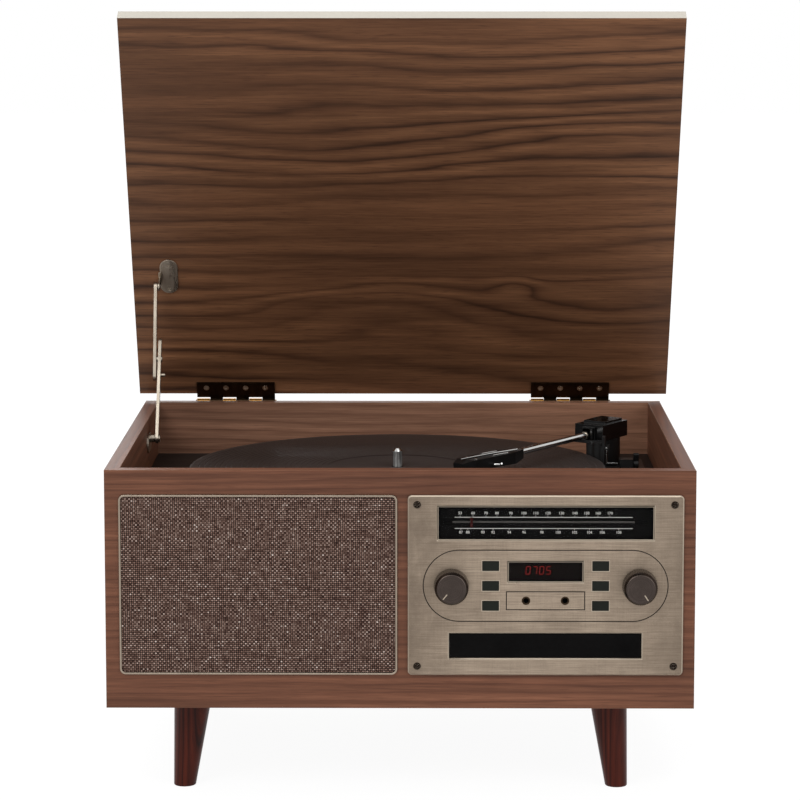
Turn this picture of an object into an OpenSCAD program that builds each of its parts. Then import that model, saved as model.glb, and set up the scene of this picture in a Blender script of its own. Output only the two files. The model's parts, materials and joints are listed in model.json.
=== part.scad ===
// Stereo music centre: a walnut cabinet on splayed legs. Under its lid is a turntable, in its front are
// a two-driver loudspeaker behind cloth and a metal fascia with a radio dial, controls and a disc tray.
// +Z is up, the front faces -Y, and the origin is on the floor under the middle of the cabinet.

/* [Cabinet] */
// Distance between the platter and each side board, as if the platter stood in the middle
well_side = 39; // [37:0.5:60]
// Distance between the platter and the front and back boards
well_front = 4; // [3:0.5:24]
// Height of the cabinet without its legs
body_h = 164; // [162:1:190]
// Thickness of the cabinet's boards
board_t = 10; // [9:0.5:11]
// Depth of the turntable deck below the rim
deck_drop = 40; // [39:0.5:44]
// Thickness of the deck
deck_t = 10; // [9:0.5:12]
// Side of the square cleats in the corners
cleat_w = 10; // [8:0.5:11]
// Height of the legs
leg_h = 64; // [50:1:110]
// Radius of a leg where it meets the cabinet
leg_top_r = 13.3; // [11:0.1:15]
// Radius of a leg at the floor
leg_foot_r = 7.6; // [6:0.1:10]
// Distance from the cabinet's side to the middle of a leg's top
leg_inset_x = 56; // [40:1:70]
// Distance from the cabinet's front or back to the middle of a leg's top
leg_inset_y = 46; // [36:1:60]
// Sideways splay of each leg, in each direction
leg_splay = 6; // [0:0.5:12]

/* [Lid] */
// Overhang of the lid past each side
lid_overhang = 5; // [0:0.5:8]
// Overhang of the closed lid past the front
lid_front = 5; // [0:0.5:8]
// Distance from the closed lid's rear edge to the cabinet's back
lid_rear = 3; // [2:0.5:4]
// Thickness of the lid
lid_t = 10; // [8:0.5:14]
// Angle to which the lid is opened
lid_open = 62.5; // [58:0.5:66]

/* [Hinges] */
// Length of each hinge
hinge_len = 61; // [50:1:76]
// Distance from the middle of the cabinet to the middle of each hinge
hinge_x = 130; // [110:1:140]
// Outer radius of the knuckles
knuckle_r = 2.75; // [2.5:0.05:3.2]
// Thickness of the leaves
leaf_t = 1.2; // [0.8:0.1:1.5]
// Height of the part of a leaf that lies on its board
leaf_w = 11; // [9:0.5:16]
// Radius of the hinge pins
hinge_pin_r = 1.5; // [1.2:0.1:1.8]

/* [Lid stay] */
// Distance from the hinge axis to the stay's pivot on the lid
stay_lid_reach = 111.7; // [108:0.1:116]
// Distance of that pivot from the lid's inner face
stay_lid_drop = 8.6; // [7:0.1:10]
// Distance from the back of the cabinet to the pivot on its side
stay_wall_back = 98; // [94:1:102]
// Depth of that pivot below the rim
stay_wall_drop = 14.6; // [12:0.1:18]
// Length of the lower arm between its pivots
stay_lower_len = 64; // [61:0.5:67]
// Angle of the lower arm above the horizontal with the lid open
stay_lower_angle = 60.9; // [58:0.1:63]
// Half the width of an arm
stay_arm_r = 3.5; // [2.5:0.1:4]
// Thickness of an arm
stay_arm_t = 2.2; // [1.2:0.1:2.4]
// Length of an arm past its middle pivot
stay_tail = 13; // [8:0.5:16]
// Radius of the rivets
stay_rivet_r = 1.8; // [1.2:0.1:2.2]

/* [Grille] */
// Distance between the grille and the fascia
grille_gap = 7.15; // [5:0.05:20]
// Distance from the cabinet's side to the grille
grille_side = 9.6; // [8:0.1:12]
// Width of the metal trim round the cloth
trim_w = 1.3; // [0.8:0.1:2.5]
// Radius of the grille's corners
trim_r = 4; // [3:0.1:6]
// Distance from the grille's side to the nearer driver's basket
driver_side = 12.75; // [10:0.25:20]
// Distance between the two drivers' baskets
driver_gap = 13; // [4:1:30]
// Width of each driver's flange round its opening
driver_flange = 5.5; // [4:0.5:7]

/* [Fascia] */
// Width of the fascia plate
fascia_w = 186.5; // [180:0.5:190]
// Distance from the fascia and the grille to the cabinet's bottom
fascia_low = 23.5; // [20:0.1:26]
// Distance from the cabinet's side to the fascia
fascia_side = 8.25; // [7:0.25:10]
// Distance from the rim to the fascia and the grille
fascia_drop = 16.8; // [16:0.1:18]
// Thickness of the fascia plate
fascia_t = 2.5; // [2:0.1:3]
// Width of its bevelled edges
bevel = 0.8; // [0.2:0.1:1.2]
// Width of the dial window
dial_w = 146; // [120:1:148]
// Height of the dial window
dial_h = 23; // [20:0.5:24]
// Width of the display window
display_w = 50.8; // [44:0.2:52]
// Height of the display window
display_h = 14.1; // [12:0.1:15]
// Radius of a knob at its base
knob_r = 12; // [9:0.1:13]
// Radius of a knob's flat face
knob_face_r = 9.8; // [7:0.1:10]
// Length of a knob
knob_len = 12; // [8:0.5:16]
// Distance from the middle of the fascia to each knob
knob_x = 63.7; // [60:0.1:66]
// Width of a push button
button_w = 11.1; // [8:0.1:12]
// Height of a push button
button_h = 6.5; // [5:0.1:8]
// Distance from the middle of the fascia to each column of buttons
button_x = 37.2; // [36:0.1:40]
// Distance between the rows of buttons
button_pitch = 13.7; // [12:0.1:14]
// Distance that a button stands out of the fascia
button_proud = 1.2; // [1.1:0.1:2]
// Radius of a jack socket's bore
jack_bore_r = 1.75; // [1.5:0.05:1.8]
// Distance from the middle of the fascia to each jack
jack_x = 13.2; // [9:0.1:16]

/* [Disc player] */
// Distance that the tray's front is wider than the tray
tray_front_over = 2.7; // [1:0.1:4]
// Height of the tray's front
tray_front_h = 16.3; // [14:0.1:17]
// Width of the tray beside its seat
tray_rim = 3; // [2:0.1:3]
// Length of the tray behind its seat
tray_end = 25; // [17:1:29]
// Thickness of the tray
tray_t = 7; // [6:0.5:8]
// Radius of the tray's seat for a disc
disc_seat_r = 60.5; // [60:0.1:61]

/* [Turntable] */
// Distance from the middle of the cabinet to the platter's axis, to the left
platter_x = 3; // [0:0.5:8]
// Radius of the platter
platter_r = 151; // [146:0.5:151]
// Thickness of the mat
mat_t = 3; // [2:0.5:4]
// Height of the mat's top above the deck
mat_h = 16; // [15:0.5:18]
// Radius of the spindle
spindle_r = 3.6; // [3.4:0.05:3.7]
// Height of the spindle above the mat
spindle_h = 13; // [10:0.5:16]
// Radius of the ring that the belt drives
belt_ring_r = 48.5; // [40:0.5:60]
// Radius of the motor's pulley
pulley_r = 6; // [5:0.5:8]
// Distance from the platter's axis to the motor's axis
motor_dist = 85; // [80:1:100]

/* [Tonearm] */
// Distance from the platter's right edge to the arm's pivot, to the right
arm_side = 4; // [2:0.5:6]
// Distance from the middle of the cabinet to the arm's pivot, to the back
arm_y = 90; // [86:0.5:94]
// Direction of the tube as seen from above
arm_angle = -123.4; // [-126:0.1:-118]
// Length of the tube from the pivot to the headshell
tube_len = 123.5; // [118:0.5:126]
// Radius of the tube
tube_r = 2.5; // [2:0.1:3]
// Height of the tube's axis above the mat
tube_h = 12; // [11.5:0.1:12.5]
// Length of the headshell
head_len = 64; // [56:0.5:66]
// Width of the headshell
head_w = 17; // [14:0.5:18]
// Angle between the headshell and the tube
head_offset = 9.6; // [0:0.1:16]
// Radius of the pedestal under the pivot
pedestal_r = 12.5; // [10:0.5:14]

/* [Hidden] */

$fn = 64;
eps = 0.01;
// Gap of pieces that lie together without touching, and radial gap of a shaft in its bore
seat_gap = 0.3;
run_gap = 0.05;
side_gap = 0.2;

// Colours
walnut = "#6b4535";
dark_walnut = "#3a271f";
leg_red = "#5a241b";
nickel = "#b9b2a6";
bronze = "#3b3026";
brass = "#c69a4c";
steel = "#9a9a9c";
black = "#1b1b1d";
cloth_brown = "#6e5a50";
antique = "#9b8c7c";
board_green = "#2d5a3a";
signal_red = "#8e2b22";

// The cabinet is as wide and as deep as the platter needs
body_w = 2 * (platter_r + well_side + board_t);
body_d = 2 * (platter_r + well_front + board_t);
arm_x = platter_r - platter_x + arm_side;

// Levels and faces of the cabinet
rim_z = leg_h + body_h;
floor_z = leg_h + board_t;
deck_z = rim_z - deck_drop;
deck_low = deck_z - deck_t;
front_y = -body_d / 2;
back_y = body_d / 2;
inner_x = body_w / 2 - board_t;
inner_y = body_d / 2 - board_t;

// Lid and hinge. The lid leaf lies between the lid and the rim.
leaf_clear = 0.2;
lid_gap = leaf_t + leaf_clear;
axis_y = back_y + knuckle_r + side_gap;
axis_z = rim_z + lid_gap - knuckle_r;
lid_low = rim_z + lid_gap;
knuckles = 6;
knuckle_gap = 0.3;
hinge_sides = [-1, 1];
leaf_screws = 4;

// Stay. Each pivot is [y, z] in the cabinet, with the lid open.
stay_wall = [back_y - stay_wall_back, rim_z - stay_wall_drop];
stay_lid_closed = [-stay_lid_reach, lid_low - stay_lid_drop - axis_z];
stay_lid = [axis_y + stay_lid_closed[0] * cos(lid_open) + stay_lid_closed[1] * sin(lid_open),
            axis_z - stay_lid_closed[0] * sin(lid_open) + stay_lid_closed[1] * cos(lid_open)];
stay_mid = stay_wall + stay_lower_len * [cos(stay_lower_angle), sin(stay_lower_angle)];
stay_upper_vec = stay_lid - stay_mid;
stay_upper_len = norm(stay_upper_vec);
stay_upper_angle = atan2(stay_upper_vec[1], stay_upper_vec[0]);
stay_bracket_t = 1.2;
// Distance from the cabinet's side to the middle plane of each arm
stay_upper_off = 2.9;
stay_lower_off = 6.5;
stay_ear_off = 5.3;
stay_plate_w = 13.4;
stay_plate_l = 30;
stay_plate_screw = 10.3;
stay_stub_r = 1.4;

// Screws: head radius and height, shank radius and length
small_screw = [2.4, 1.0, 1.1, 7];
flush_screw = [2.2, 0.7, 1.1, 7];
fascia_screw = [2.6, 1.5, 1.2, 7];
pilot_gap = 0.05;

// Fascia. Every control is placed from its middle.
fascia_h = body_h - fascia_drop - fascia_low;
fascia_x = body_w / 2 - fascia_side - fascia_w / 2;
fascia_z = rim_z - fascia_drop - fascia_h / 2;
fascia_r = 2.8;
fascia_face = front_y - fascia_t;
fascia_screw_inset = 6.3;
dial_dz = fascia_h / 2 - 18.9;
display_dz = 9.6;
jack_dz = -10.25;
tray_dz = 20.35 - fascia_h / 2;
fit_gap = 0.1;
window_t = 2;
window_sunk = 0.4;
groove_w = 0.7;
groove_t = 0.35;
stadium_w = 166.3;
stadium_h = 49.7;
jack_frame_w = 53.7;
jack_frame_h = 13.1;
tray_w = 2 * (disc_seat_r + tray_rim);
tray_front_w = tray_w + tray_front_over;
// Openings in the front board behind the fascia
well_half_w = 76;
well_low = -27;
well_high = 26;
tray_slot_w = tray_front_w + 7;
tray_slot_h = tray_front_h + 5;
dial_pocket_w = dial_w + 4;
dial_pocket_h = dial_h + 2;
dial_pocket_t = 7;
// Dial scale and its pointer
scale_t = 3.2;
scale_face = front_y + dial_pocket_t - scale_t;
pointer_groove_h = 2.4;
pointer_groove_t = 1.4;
pointer_dz = -0.4;
pointer_rest = -50.1;
pointer_w = 1.8;
pointer_h = 7;
// Control board
pcb_t = 1.6;
pcb_back = 8.2;
pcb_front_y = front_y + pcb_back - pcb_t;
pcb_half_w = 73.5;
pcb_low = -25;
pcb_high = 24;
boss_x = 70;
boss_z = 20;
boss_r = 2.5;
// Knob spindles and their bushes
spindle_shaft_r = 3;
bush_r = 4.5;
control_depth = 9.6;
// The capacitor's spindle stands beside its middle
capacitor_w = 20;
capacitor_off = 3;
knob_gap = 0.8;
// Buttons
button_travel = 1;
button_rows = [1, 0, -1];
button_flange = 0.8;
button_stem_r = 1.5;
tact_h = 2.2;

// Disc player, placed from the tray
tray_z = fascia_z + tray_dz;
tray_low = tray_z - tray_front_h / 2 + 0.8;
tray_front_t = 3;
tray_front_face = fascia_face + 0.9;
tray_start = tray_front_face + tray_front_t;
seat_t = 3;
seat_start = 4;
tray_len = seat_start + 2 * disc_seat_r + tray_end;
disc_y = tray_start + seat_start + disc_seat_r;
case_wall = 2;
rail_gap = 0.4;
rail_w = 5.5;
case_half_w = tray_w / 2 + rail_gap + rail_w + case_wall;
case_low = tray_low - 8.5;
case_h = 34;
case_start = front_y + board_t + 0.3;
case_len = tray_len + 37;
foot_r = 6;

// Turntable
mat_z = deck_z + mat_h;
plate_t = 4;
skirt_h = 9;
skirt_t = 3;
ring_t = 2.5;
ring_low = mat_z - mat_t - 11;
hub_r = 9;
axle_r = spindle_r - 0.4;
label_r = 50;
label_sunk = 0.6;
bearing_r = 7;
bearing_flange_r = 15;
bearing_flange_t = 2;
bearing_low = deck_low - 20;
motor_r = 18;
motor_h = 22;
motor_flange_r = 23;
motor_dir = 135;
belt_t = 0.6;
belt_h = 4;
belt_low = ring_low + 1;
platter_at = [-platter_x, 0, 0];
motor_at = [-platter_x + motor_dist * cos(motor_dir), motor_dist * sin(motor_dir), 0];

// Tonearm
tube_z = mat_z + tube_h;
base_t = 3;
base_z = deck_z + base_t;
base_clear = 2;
arm_at = [arm_x, arm_y, 0];
pedestal_top = tube_z - tube_r - 2;
gimbal_low = pedestal_top + seat_gap;
gimbal_h = 11.7;
gimbal_front = 22;
gimbal_back = 15;
gimbal_half = 12;
gimbal_floor = 0.8;
gimbal_shaft_r = 3;
collar_front = 26;
collar_half = 5;
cavity_top = tube_z + tube_r + 2.2;
hub_pin_r = 1.2;
tube_tail = 5;
head_low = tube_z - 6;
head_h = 8.5;
stylus_back = 8;
stylus_gap = 0.3;
cartridge_h = 4.6;
// Arm rest in the parked arm's line, and its clip, which hangs from a pin beside the post
rest_dist = 40.5;
rest_angle = -98.8;
rest_r = 4;
rest_wall_t = 2;
rest_gap = 0.5;
clip_w = 5.4;
clip_t = 0.8;
clip_pin_r = 0.8;
clip_reach = 8.5;
lift_max = 3.2;
clip_over = tube_z + tube_r + rest_dist * tan(lift_max) + seat_gap + clip_t / 2;
clip_foot_z = base_z + 7.4;
clip_leg = (clip_over - clip_foot_z) / 2;
clip_z = clip_foot_z + clip_leg;
clip_side = tube_r + rest_gap + rest_wall_t + 1.5;
// Cue lift under the tube, and the block that carries its lever
lift_dist = 31;
lift_angle = -109;
lift_r = 2;
lift_house_r = 4.5;
lift_top = tube_z - tube_r - seat_gap;
lift_plate_t = 2;
lift_plate_w = 3.6;
lift_at = [arm_x + lift_dist * cos(lift_angle), arm_y + lift_dist * sin(lift_angle), 0];
cue_x = arm_x + 10;
cue_y = arm_y - 32;
cue_z = base_z + 5;
cue_block_w = 10;
cue_shaft_r = 1.5;
cue_lean = 25;
cue_len = 9;
// Speed lever
speed_x = arm_x + 19;
speed_y = arm_y - 128;
speed_travel = 16;
speed_stem = 3;

// A box given by two opposite corners
module block(low, high) {
    translate(low) cube(high - low);
}

// A cylinder along Y, from y0 to y1
module rod_y(x, z, r, y0, y1) {
    translate([x, y1, z]) rotate([90, 0, 0]) cylinder(r = r, h = y1 - y0);
}

// A cylinder along X, from x0 to x1
module rod_x(y, z, r, x0, x1) {
    translate([x0, y, z]) rotate([0, 90, 0]) cylinder(r = r, h = x1 - x0);
}

// A flat rectangle with round corners, about its middle
module round_rect(w, h, r) {
    square([w - 2 * r, h], center = true);
    square([w, h - 2 * r], center = true);
    for (x = [-1, 1], y = [-1, 1]) translate([x * (w / 2 - r), y * (h / 2 - r)]) circle(r);
}

// An upright panel in the plane of the front, about (x, z), from y0 to y1
module panel(x, z, w, h, y0, y1, r = 0) {
    translate([x, y1, z]) rotate([90, 0, 0]) linear_extrude(y1 - y0)
        if (r > 0) round_rect(w, h, r); else square([w, h], center = true);
}

// A slot with round ends in the plane of the front
module stadium(w, h) {
    square([w - h, h], center = true);
    for (x = [-1, 1]) translate([x * (w - h) / 2, 0]) circle(h / 2);
}

// A pan head screw along +Z: its shank goes down from the origin and its head stands on it
module screw(size) {
    difference() {
        cylinder(r1 = size[0], r2 = size[0] * 0.75, h = size[1]);
        for (a = [0, 90]) rotate([0, 0, a])
            translate([-size[0] * 0.5, -size[0] * 0.12, size[1] * 0.45]) cube([size[0], size[0] * 0.24, size[1]]);
    }
    translate([0, 0, -size[3]]) cylinder(r = size[2], h = size[3] + eps);
}

// The hole in a board for such a screw
module pilot(size) {
    translate([0, 0, -size[3] - pilot_gap]) cylinder(r = size[2] + pilot_gap, h = size[3] + 2);
}

// A screw whose head lies flush with the origin, and its stepped hole
module flush_screw() {
    difference() {
        translate([0, 0, -flush_screw[1]]) cylinder(r = flush_screw[0], h = flush_screw[1]);
        for (a = [0, 90]) rotate([0, 0, a])
            translate([-1.3, -0.25, -flush_screw[1] * 0.5]) cube([2.6, 0.5, 1]);
    }
    translate([0, 0, -flush_screw[3]]) cylinder(r = flush_screw[2], h = flush_screw[3] - flush_screw[1] + eps);
}

module flush_hole() {
    pilot(flush_screw);
    translate([0, 0, -flush_screw[1] - pilot_gap]) cylinder(r = flush_screw[0] + pilot_gap, h = 2);
}

// Moves children from the closed lid, drawn about the hinge axis, to the open lid
module on_lid() {
    translate([0, axis_y, axis_z]) rotate([-lid_open, 0, 0]) children();
}

// One wall board, mitred at both ends, from x = -len/2 to len/2 along the front
module mitred_board(len) {
    translate([0, 0, leg_h]) linear_extrude(body_h)
        polygon([[-len / 2, 0], [len / 2, 0], [len / 2 - board_t, board_t], [-len / 2 + board_t, board_t]]);
}

// ---------------------------------------------------------------- cabinet

module left_side_board() {
    color(walnut) difference() {
        translate([-body_w / 2, 0, 0]) rotate([0, 0, -90]) mitred_board(body_d);
        stay_wall_screws() pilot(flush_screw);
    }
}

module right_side_board() {
    color(walnut) translate([body_w / 2, 0, 0]) rotate([0, 0, 90]) mitred_board(body_d);
}

module front_board() {
    color(walnut) difference() {
        translate([0, front_y, 0]) mitred_board(body_w);
        panel(grille_x, fascia_z, grille_w + 2 * fit_gap, fascia_h + 2 * fit_gap,
              front_y - 1, front_y + grille_sunk, trim_r);
        for (x = driver_xs) rod_y(x, driver_z, driver_hole_r, front_y - 1, front_y + board_t + 1);
        block([fascia_x - well_half_w, front_y - 1, fascia_z + well_low],
              [fascia_x + well_half_w, front_y + board_t + 1, fascia_z + well_high]);
        panel(fascia_x, tray_z, tray_slot_w, tray_slot_h, front_y - 1, front_y + board_t + 1);
        panel(fascia_x, fascia_z + dial_dz, dial_pocket_w, dial_pocket_h, front_y - 1, front_y + dial_pocket_t);
        fascia_screw_spots() pilot(fascia_screw);
    }
}

module back_board() {
    color(walnut) difference() {
        translate([0, back_y, 0]) rotate([0, 0, 180]) mitred_board(body_w);
        fixed_leaf_screw_spots() pilot(flush_screw);
        block([panel_x - panel_w / 2 + panel_lip, inner_y - 1, panel_z - panel_h / 2 + panel_lip],
              [panel_x + panel_w / 2 - panel_lip, back_y + 1, panel_z + panel_h / 2 - panel_lip]);
        panel_screw_spots() pilot(small_screw);
    }
}

module bottom_board() {
    color(dark_walnut) difference() {
        block([-inner_x, -inner_y, leg_h], [inner_x, inner_y, floor_z]);
        leg_tops() translate([0, 0, leg_h - 1]) cylinder(r = tee_barrel_r + fit_gap, h = board_t + 2);
    }
}

module deck_board() {
    color(black) difference() {
        block([-inner_x, -inner_y, deck_low], [inner_x, inner_y, deck_z]);
        translate(platter_at) translate([0, 0, deck_low - 1]) cylinder(r = bearing_r + fit_gap, h = deck_t + 2);
        translate(motor_at) translate([0, 0, deck_low - 1]) cylinder(r = pulley_r + 2, h = deck_t + 2);
        speed_slot(deck_low - 1, deck_z + 1);
    }
}

module corner_cleats() {
    color(dark_walnut) for (x = [-1, 1], y = [-1, 1]) {
        translate([x * (inner_x - cleat_w / 2), y * (inner_y - cleat_w / 2), (floor_z + deck_low) / 2])
            cube([cleat_w, cleat_w, deck_low - floor_z], center = true);
    }
}

// ---------------------------------------------------------------- legs

bolt_r = 4;
bolt_in_leg = 25;
tee_barrel_r = 5.4;
tee_flange_r = 10;
tee_flange_t = 1.5;
tee_sunk = 1;

module leg_tops() {
    for (x = [-1, 1], y = [-1, 1])
        translate([x * (body_w / 2 - leg_inset_x), y * (body_d / 2 - leg_inset_y), 0]) children();
}

// A cone whose axis leans outwards, cut level at the floor and at the cabinet
module splayed_leg(sx, sy) {
    lean = [sx * leg_splay, sy * leg_splay, -leg_h];
    length = norm(lean);
    taper = (leg_top_r - leg_foot_r) / length;
    over = 4;
    tilt = atan2(norm([lean[0], lean[1]]), leg_h);
    turn = atan2(sy, sx);
    difference() {
        intersection() {
            translate([0, 0, leg_h]) rotate([0, 0, turn]) rotate([0, 180 - tilt, 0]) translate([0, 0, -over])
                cylinder(r1 = leg_top_r + taper * over, r2 = leg_foot_r - taper * over, h = length + 2 * over);
            translate([-60, -60, 0]) cube([120, 120, leg_h]);
        }
        translate([0, 0, leg_h - bolt_in_leg - 1]) cylinder(r = bolt_r + run_gap, h = bolt_in_leg + 2);
    }
}

module legs() {
    color(leg_red) for (x = [-1, 1], y = [-1, 1])
        translate([x * (body_w / 2 - leg_inset_x), y * (body_d / 2 - leg_inset_y), 0]) splayed_leg(x, y);
}

// Each bolt stands in its leg and in a tee nut, which is let into the bottom board from above
module leg_bolts() {
    color(steel) leg_tops() {
        translate([0, 0, leg_h - bolt_in_leg]) cylinder(r = bolt_r, h = bolt_in_leg + board_t);
        difference() {
            union() {
                translate([0, 0, leg_h + tee_sunk]) cylinder(r = tee_barrel_r, h = board_t - tee_sunk);
                translate([0, 0, floor_z]) cylinder(r = tee_flange_r, h = tee_flange_t);
            }
            translate([0, 0, leg_h]) cylinder(r = bolt_r + run_gap, h = board_t + tee_flange_t + 1);
        }
    }
}

// ---------------------------------------------------------------- hinges, lid and stay

module on_hinges() {
    for (x = hinge_sides) translate([x * hinge_x, 0, 0]) children();
}

// Knuckles number first, first + 2 ... of a hinge, about the axis
module knuckle_set(first) {
    pitch = hinge_len / knuckles;
    for (i = [first:2:knuckles - 1])
        translate([-hinge_len / 2 + i * pitch + knuckle_gap / 2, 0, 0]) rotate([0, 90, 0])
            difference() {
                cylinder(r = knuckle_r, h = pitch - knuckle_gap);
                translate([0, 0, -1]) cylinder(r = hinge_pin_r + run_gap, h = pitch + 2);
            }
}

// The webs that join every second knuckle to its leaf, in a box from low to high in [y, z]
module knuckle_webs(first, low, high) {
    pitch = hinge_len / knuckles;
    for (i = [first:2:knuckles - 1])
        block([-hinge_len / 2 + i * pitch + knuckle_gap / 2, low[0], low[1]],
              [-hinge_len / 2 + (i + 1) * pitch - knuckle_gap / 2, high[0], high[1]]);
}

fixed_leaf_top = axis_z - knuckle_r - 0.4;
fixed_leaf_low = fixed_leaf_top - leaf_w;

module fixed_leaf_screw_spots() {
    on_hinges() for (i = [0:leaf_screws - 1])
        translate([hinge_len * ((i + 0.5) / leaf_screws - 0.5), back_y + leaf_t, (fixed_leaf_top + fixed_leaf_low) / 2])
            rotate([-90, 0, 0]) children();
}

module hinge_fixed_leaves() {
    color(brass) difference() {
        on_hinges() {
            translate([0, axis_y, axis_z]) knuckle_set(0);
            difference() {
                union() {
                    block([-hinge_len / 2 + knuckle_gap / 2, back_y, fixed_leaf_low],
                          [hinge_len / 2 - knuckle_gap / 2, back_y + leaf_t, fixed_leaf_top]);
                    knuckle_webs(0, [back_y, fixed_leaf_top - eps], [back_y + leaf_t, axis_z]);
                }
                rod_x(axis_y, axis_z, hinge_pin_r + run_gap, -hinge_len, hinge_len);
            }
        }
        fixed_leaf_screw_spots() flush_hole();
    }
}

module hinge_pins() {
    color(brass) on_hinges() {
        rod_x(axis_y, axis_z, hinge_pin_r, -hinge_len / 2 - 0.6, hinge_len / 2 + 0.6);
        for (s = [-1, 1]) translate([s * (hinge_len / 2 + 0.6), axis_y, axis_z])
            rotate([0, 90, 0]) cylinder(r = hinge_pin_r + 0.5, h = 0.6, center = true);
    }
}

// The lid is drawn closed, about the hinge axis, and then turned open
lid_front_y = -body_d / 2 - lid_front - axis_y;
lid_rear_y = back_y - lid_rear - axis_y;
lid_face = lid_low - axis_z;

module lid_leaf_screw_spots() {
    on_hinges() for (i = [0:leaf_screws - 1])
        translate([hinge_len * ((i + 0.5) / leaf_screws - 0.5), lid_rear_y - leaf_w * 0.55, lid_face - leaf_t])
            rotate([180, 0, 0]) children();
}

module stay_lid_screw_spots() {
    for (s = [-1, 1])
        translate([stay_plate_x, -stay_lid_reach + s * stay_plate_screw - stay_plate_shift, lid_face - stay_bracket_t])
            rotate([180, 0, 0]) children();
}

module lid_board() {
    color(walnut) on_lid() difference() {
        block([-body_w / 2 - lid_overhang, lid_front_y, lid_face],
              [body_w / 2 + lid_overhang, lid_rear_y, lid_face + lid_t]);
        lid_leaf_screw_spots() pilot(flush_screw);
        stay_lid_screw_spots() pilot(flush_screw);
    }
}

module hinge_lid_leaves() {
    color(bronze) on_lid() difference() {
        on_hinges() {
            knuckle_set(1);
            difference() {
                union() {
                    block([-hinge_len / 2 + knuckle_gap / 2, lid_rear_y - leaf_w, lid_face - leaf_t],
                          [hinge_len / 2 - knuckle_gap / 2, -knuckle_r - 0.4, lid_face]);
                    knuckle_webs(1, [-knuckle_r - 0.4 - eps, lid_face - leaf_t], [0, lid_face]);
                }
                rod_x(0, 0, hinge_pin_r + run_gap, -hinge_len, hinge_len);
            }
        }
        lid_leaf_screw_spots() flush_hole();
    }
}

module lid_screws() {
    color(brass) on_lid() {
        lid_leaf_screw_spots() flush_screw();
        stay_lid_screw_spots() flush_screw();
    }
}

// Planes of the stay's pieces, from the cabinet's left wall
stay_upper_x = -inner_x + stay_upper_off;
stay_lower_x = -inner_x + stay_lower_off;
stay_ear_x = -inner_x + stay_ear_off;
stay_plate_x = stay_ear_x + stay_bracket_t / 2 + stay_plate_w / 2;
stay_plate_shift = 4;
stay_wall_plate = 28;

module stay_wall_screws() {
    for (s = [-1, 1]) translate([-inner_x + stay_bracket_t, stay_wall[0] + s * 9.5, stay_wall[1] - 3])
        rotate([0, 90, 0]) children();
}

// A flat bar with round ends from the origin to [length, 0], lying across X about the plane x = 0
module stay_bar(length, tail) {
    rotate([90, 0, 90]) linear_extrude(stay_arm_t, center = true) {
        translate([0, -stay_arm_r]) square([length + tail, 2 * stay_arm_r]);
        circle(stay_arm_r);
        translate([length + tail, 0]) circle(stay_arm_r);
    }
}

module stay_wall_bracket() {
    color(nickel) {
        difference() {
            translate([-inner_x, stay_wall[0], stay_wall[1] - 3]) rotate([90, 0, 90])
                linear_extrude(stay_bracket_t) stadium(stay_wall_plate, stay_plate_w);
            stay_wall_screws() flush_hole();
        }
        rod_x(stay_wall[0], stay_wall[1], stay_rivet_r, -inner_x + stay_bracket_t - eps,
              stay_lower_x + stay_arm_t / 2 + 0.3);
        rod_x(stay_wall[0], stay_wall[1], stay_rivet_r + 1, stay_lower_x + stay_arm_t / 2 + 0.3,
              stay_lower_x + stay_arm_t / 2 + 1.2);
        rod_x(stay_wall[0], stay_wall[1], stay_rivet_r + 1, -inner_x + stay_bracket_t - eps,
              stay_lower_x - stay_arm_t / 2 - 0.3);
    }
}

module stay_lower_arm() {
    color(nickel) translate([stay_lower_x, stay_wall[0], stay_wall[1]]) rotate([stay_lower_angle, 0, 0]) {
        difference() {
            stay_bar(stay_lower_len, stay_tail);
            rod_x(0, 0, stay_rivet_r + run_gap, -3, 3);
        }
        // Rivet of the middle joint, with its spacer towards the upper arm, and the release peg
        rod_x(stay_lower_len, 0, stay_rivet_r + 0.7, stay_arm_t / 2 - eps, stay_arm_t / 2 + 0.8);
        rod_x(stay_lower_len, 0, stay_rivet_r + 0.7, -stay_lower_off + stay_upper_off + stay_arm_t / 2 + 0.2,
              -stay_arm_t / 2 + eps);
        rod_x(stay_lower_len - stay_tail, 0, stay_stub_r, stay_arm_t / 2 - eps, stay_arm_t / 2 + 3.2);
    }
}

module stay_upper_arm() {
    color(nickel) translate([stay_upper_x, stay_mid[0], stay_mid[1]]) rotate([stay_upper_angle, 0, 0])
        difference() {
            translate([0, 0, 0]) union() {
                stay_bar(stay_upper_len, 0);
                translate([0, -stay_tail, 0]) stay_bar(stay_tail, 0);
            }
            rod_x(stay_upper_len, 0, stay_rivet_r + run_gap, -3, 3);
        }
}

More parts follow.
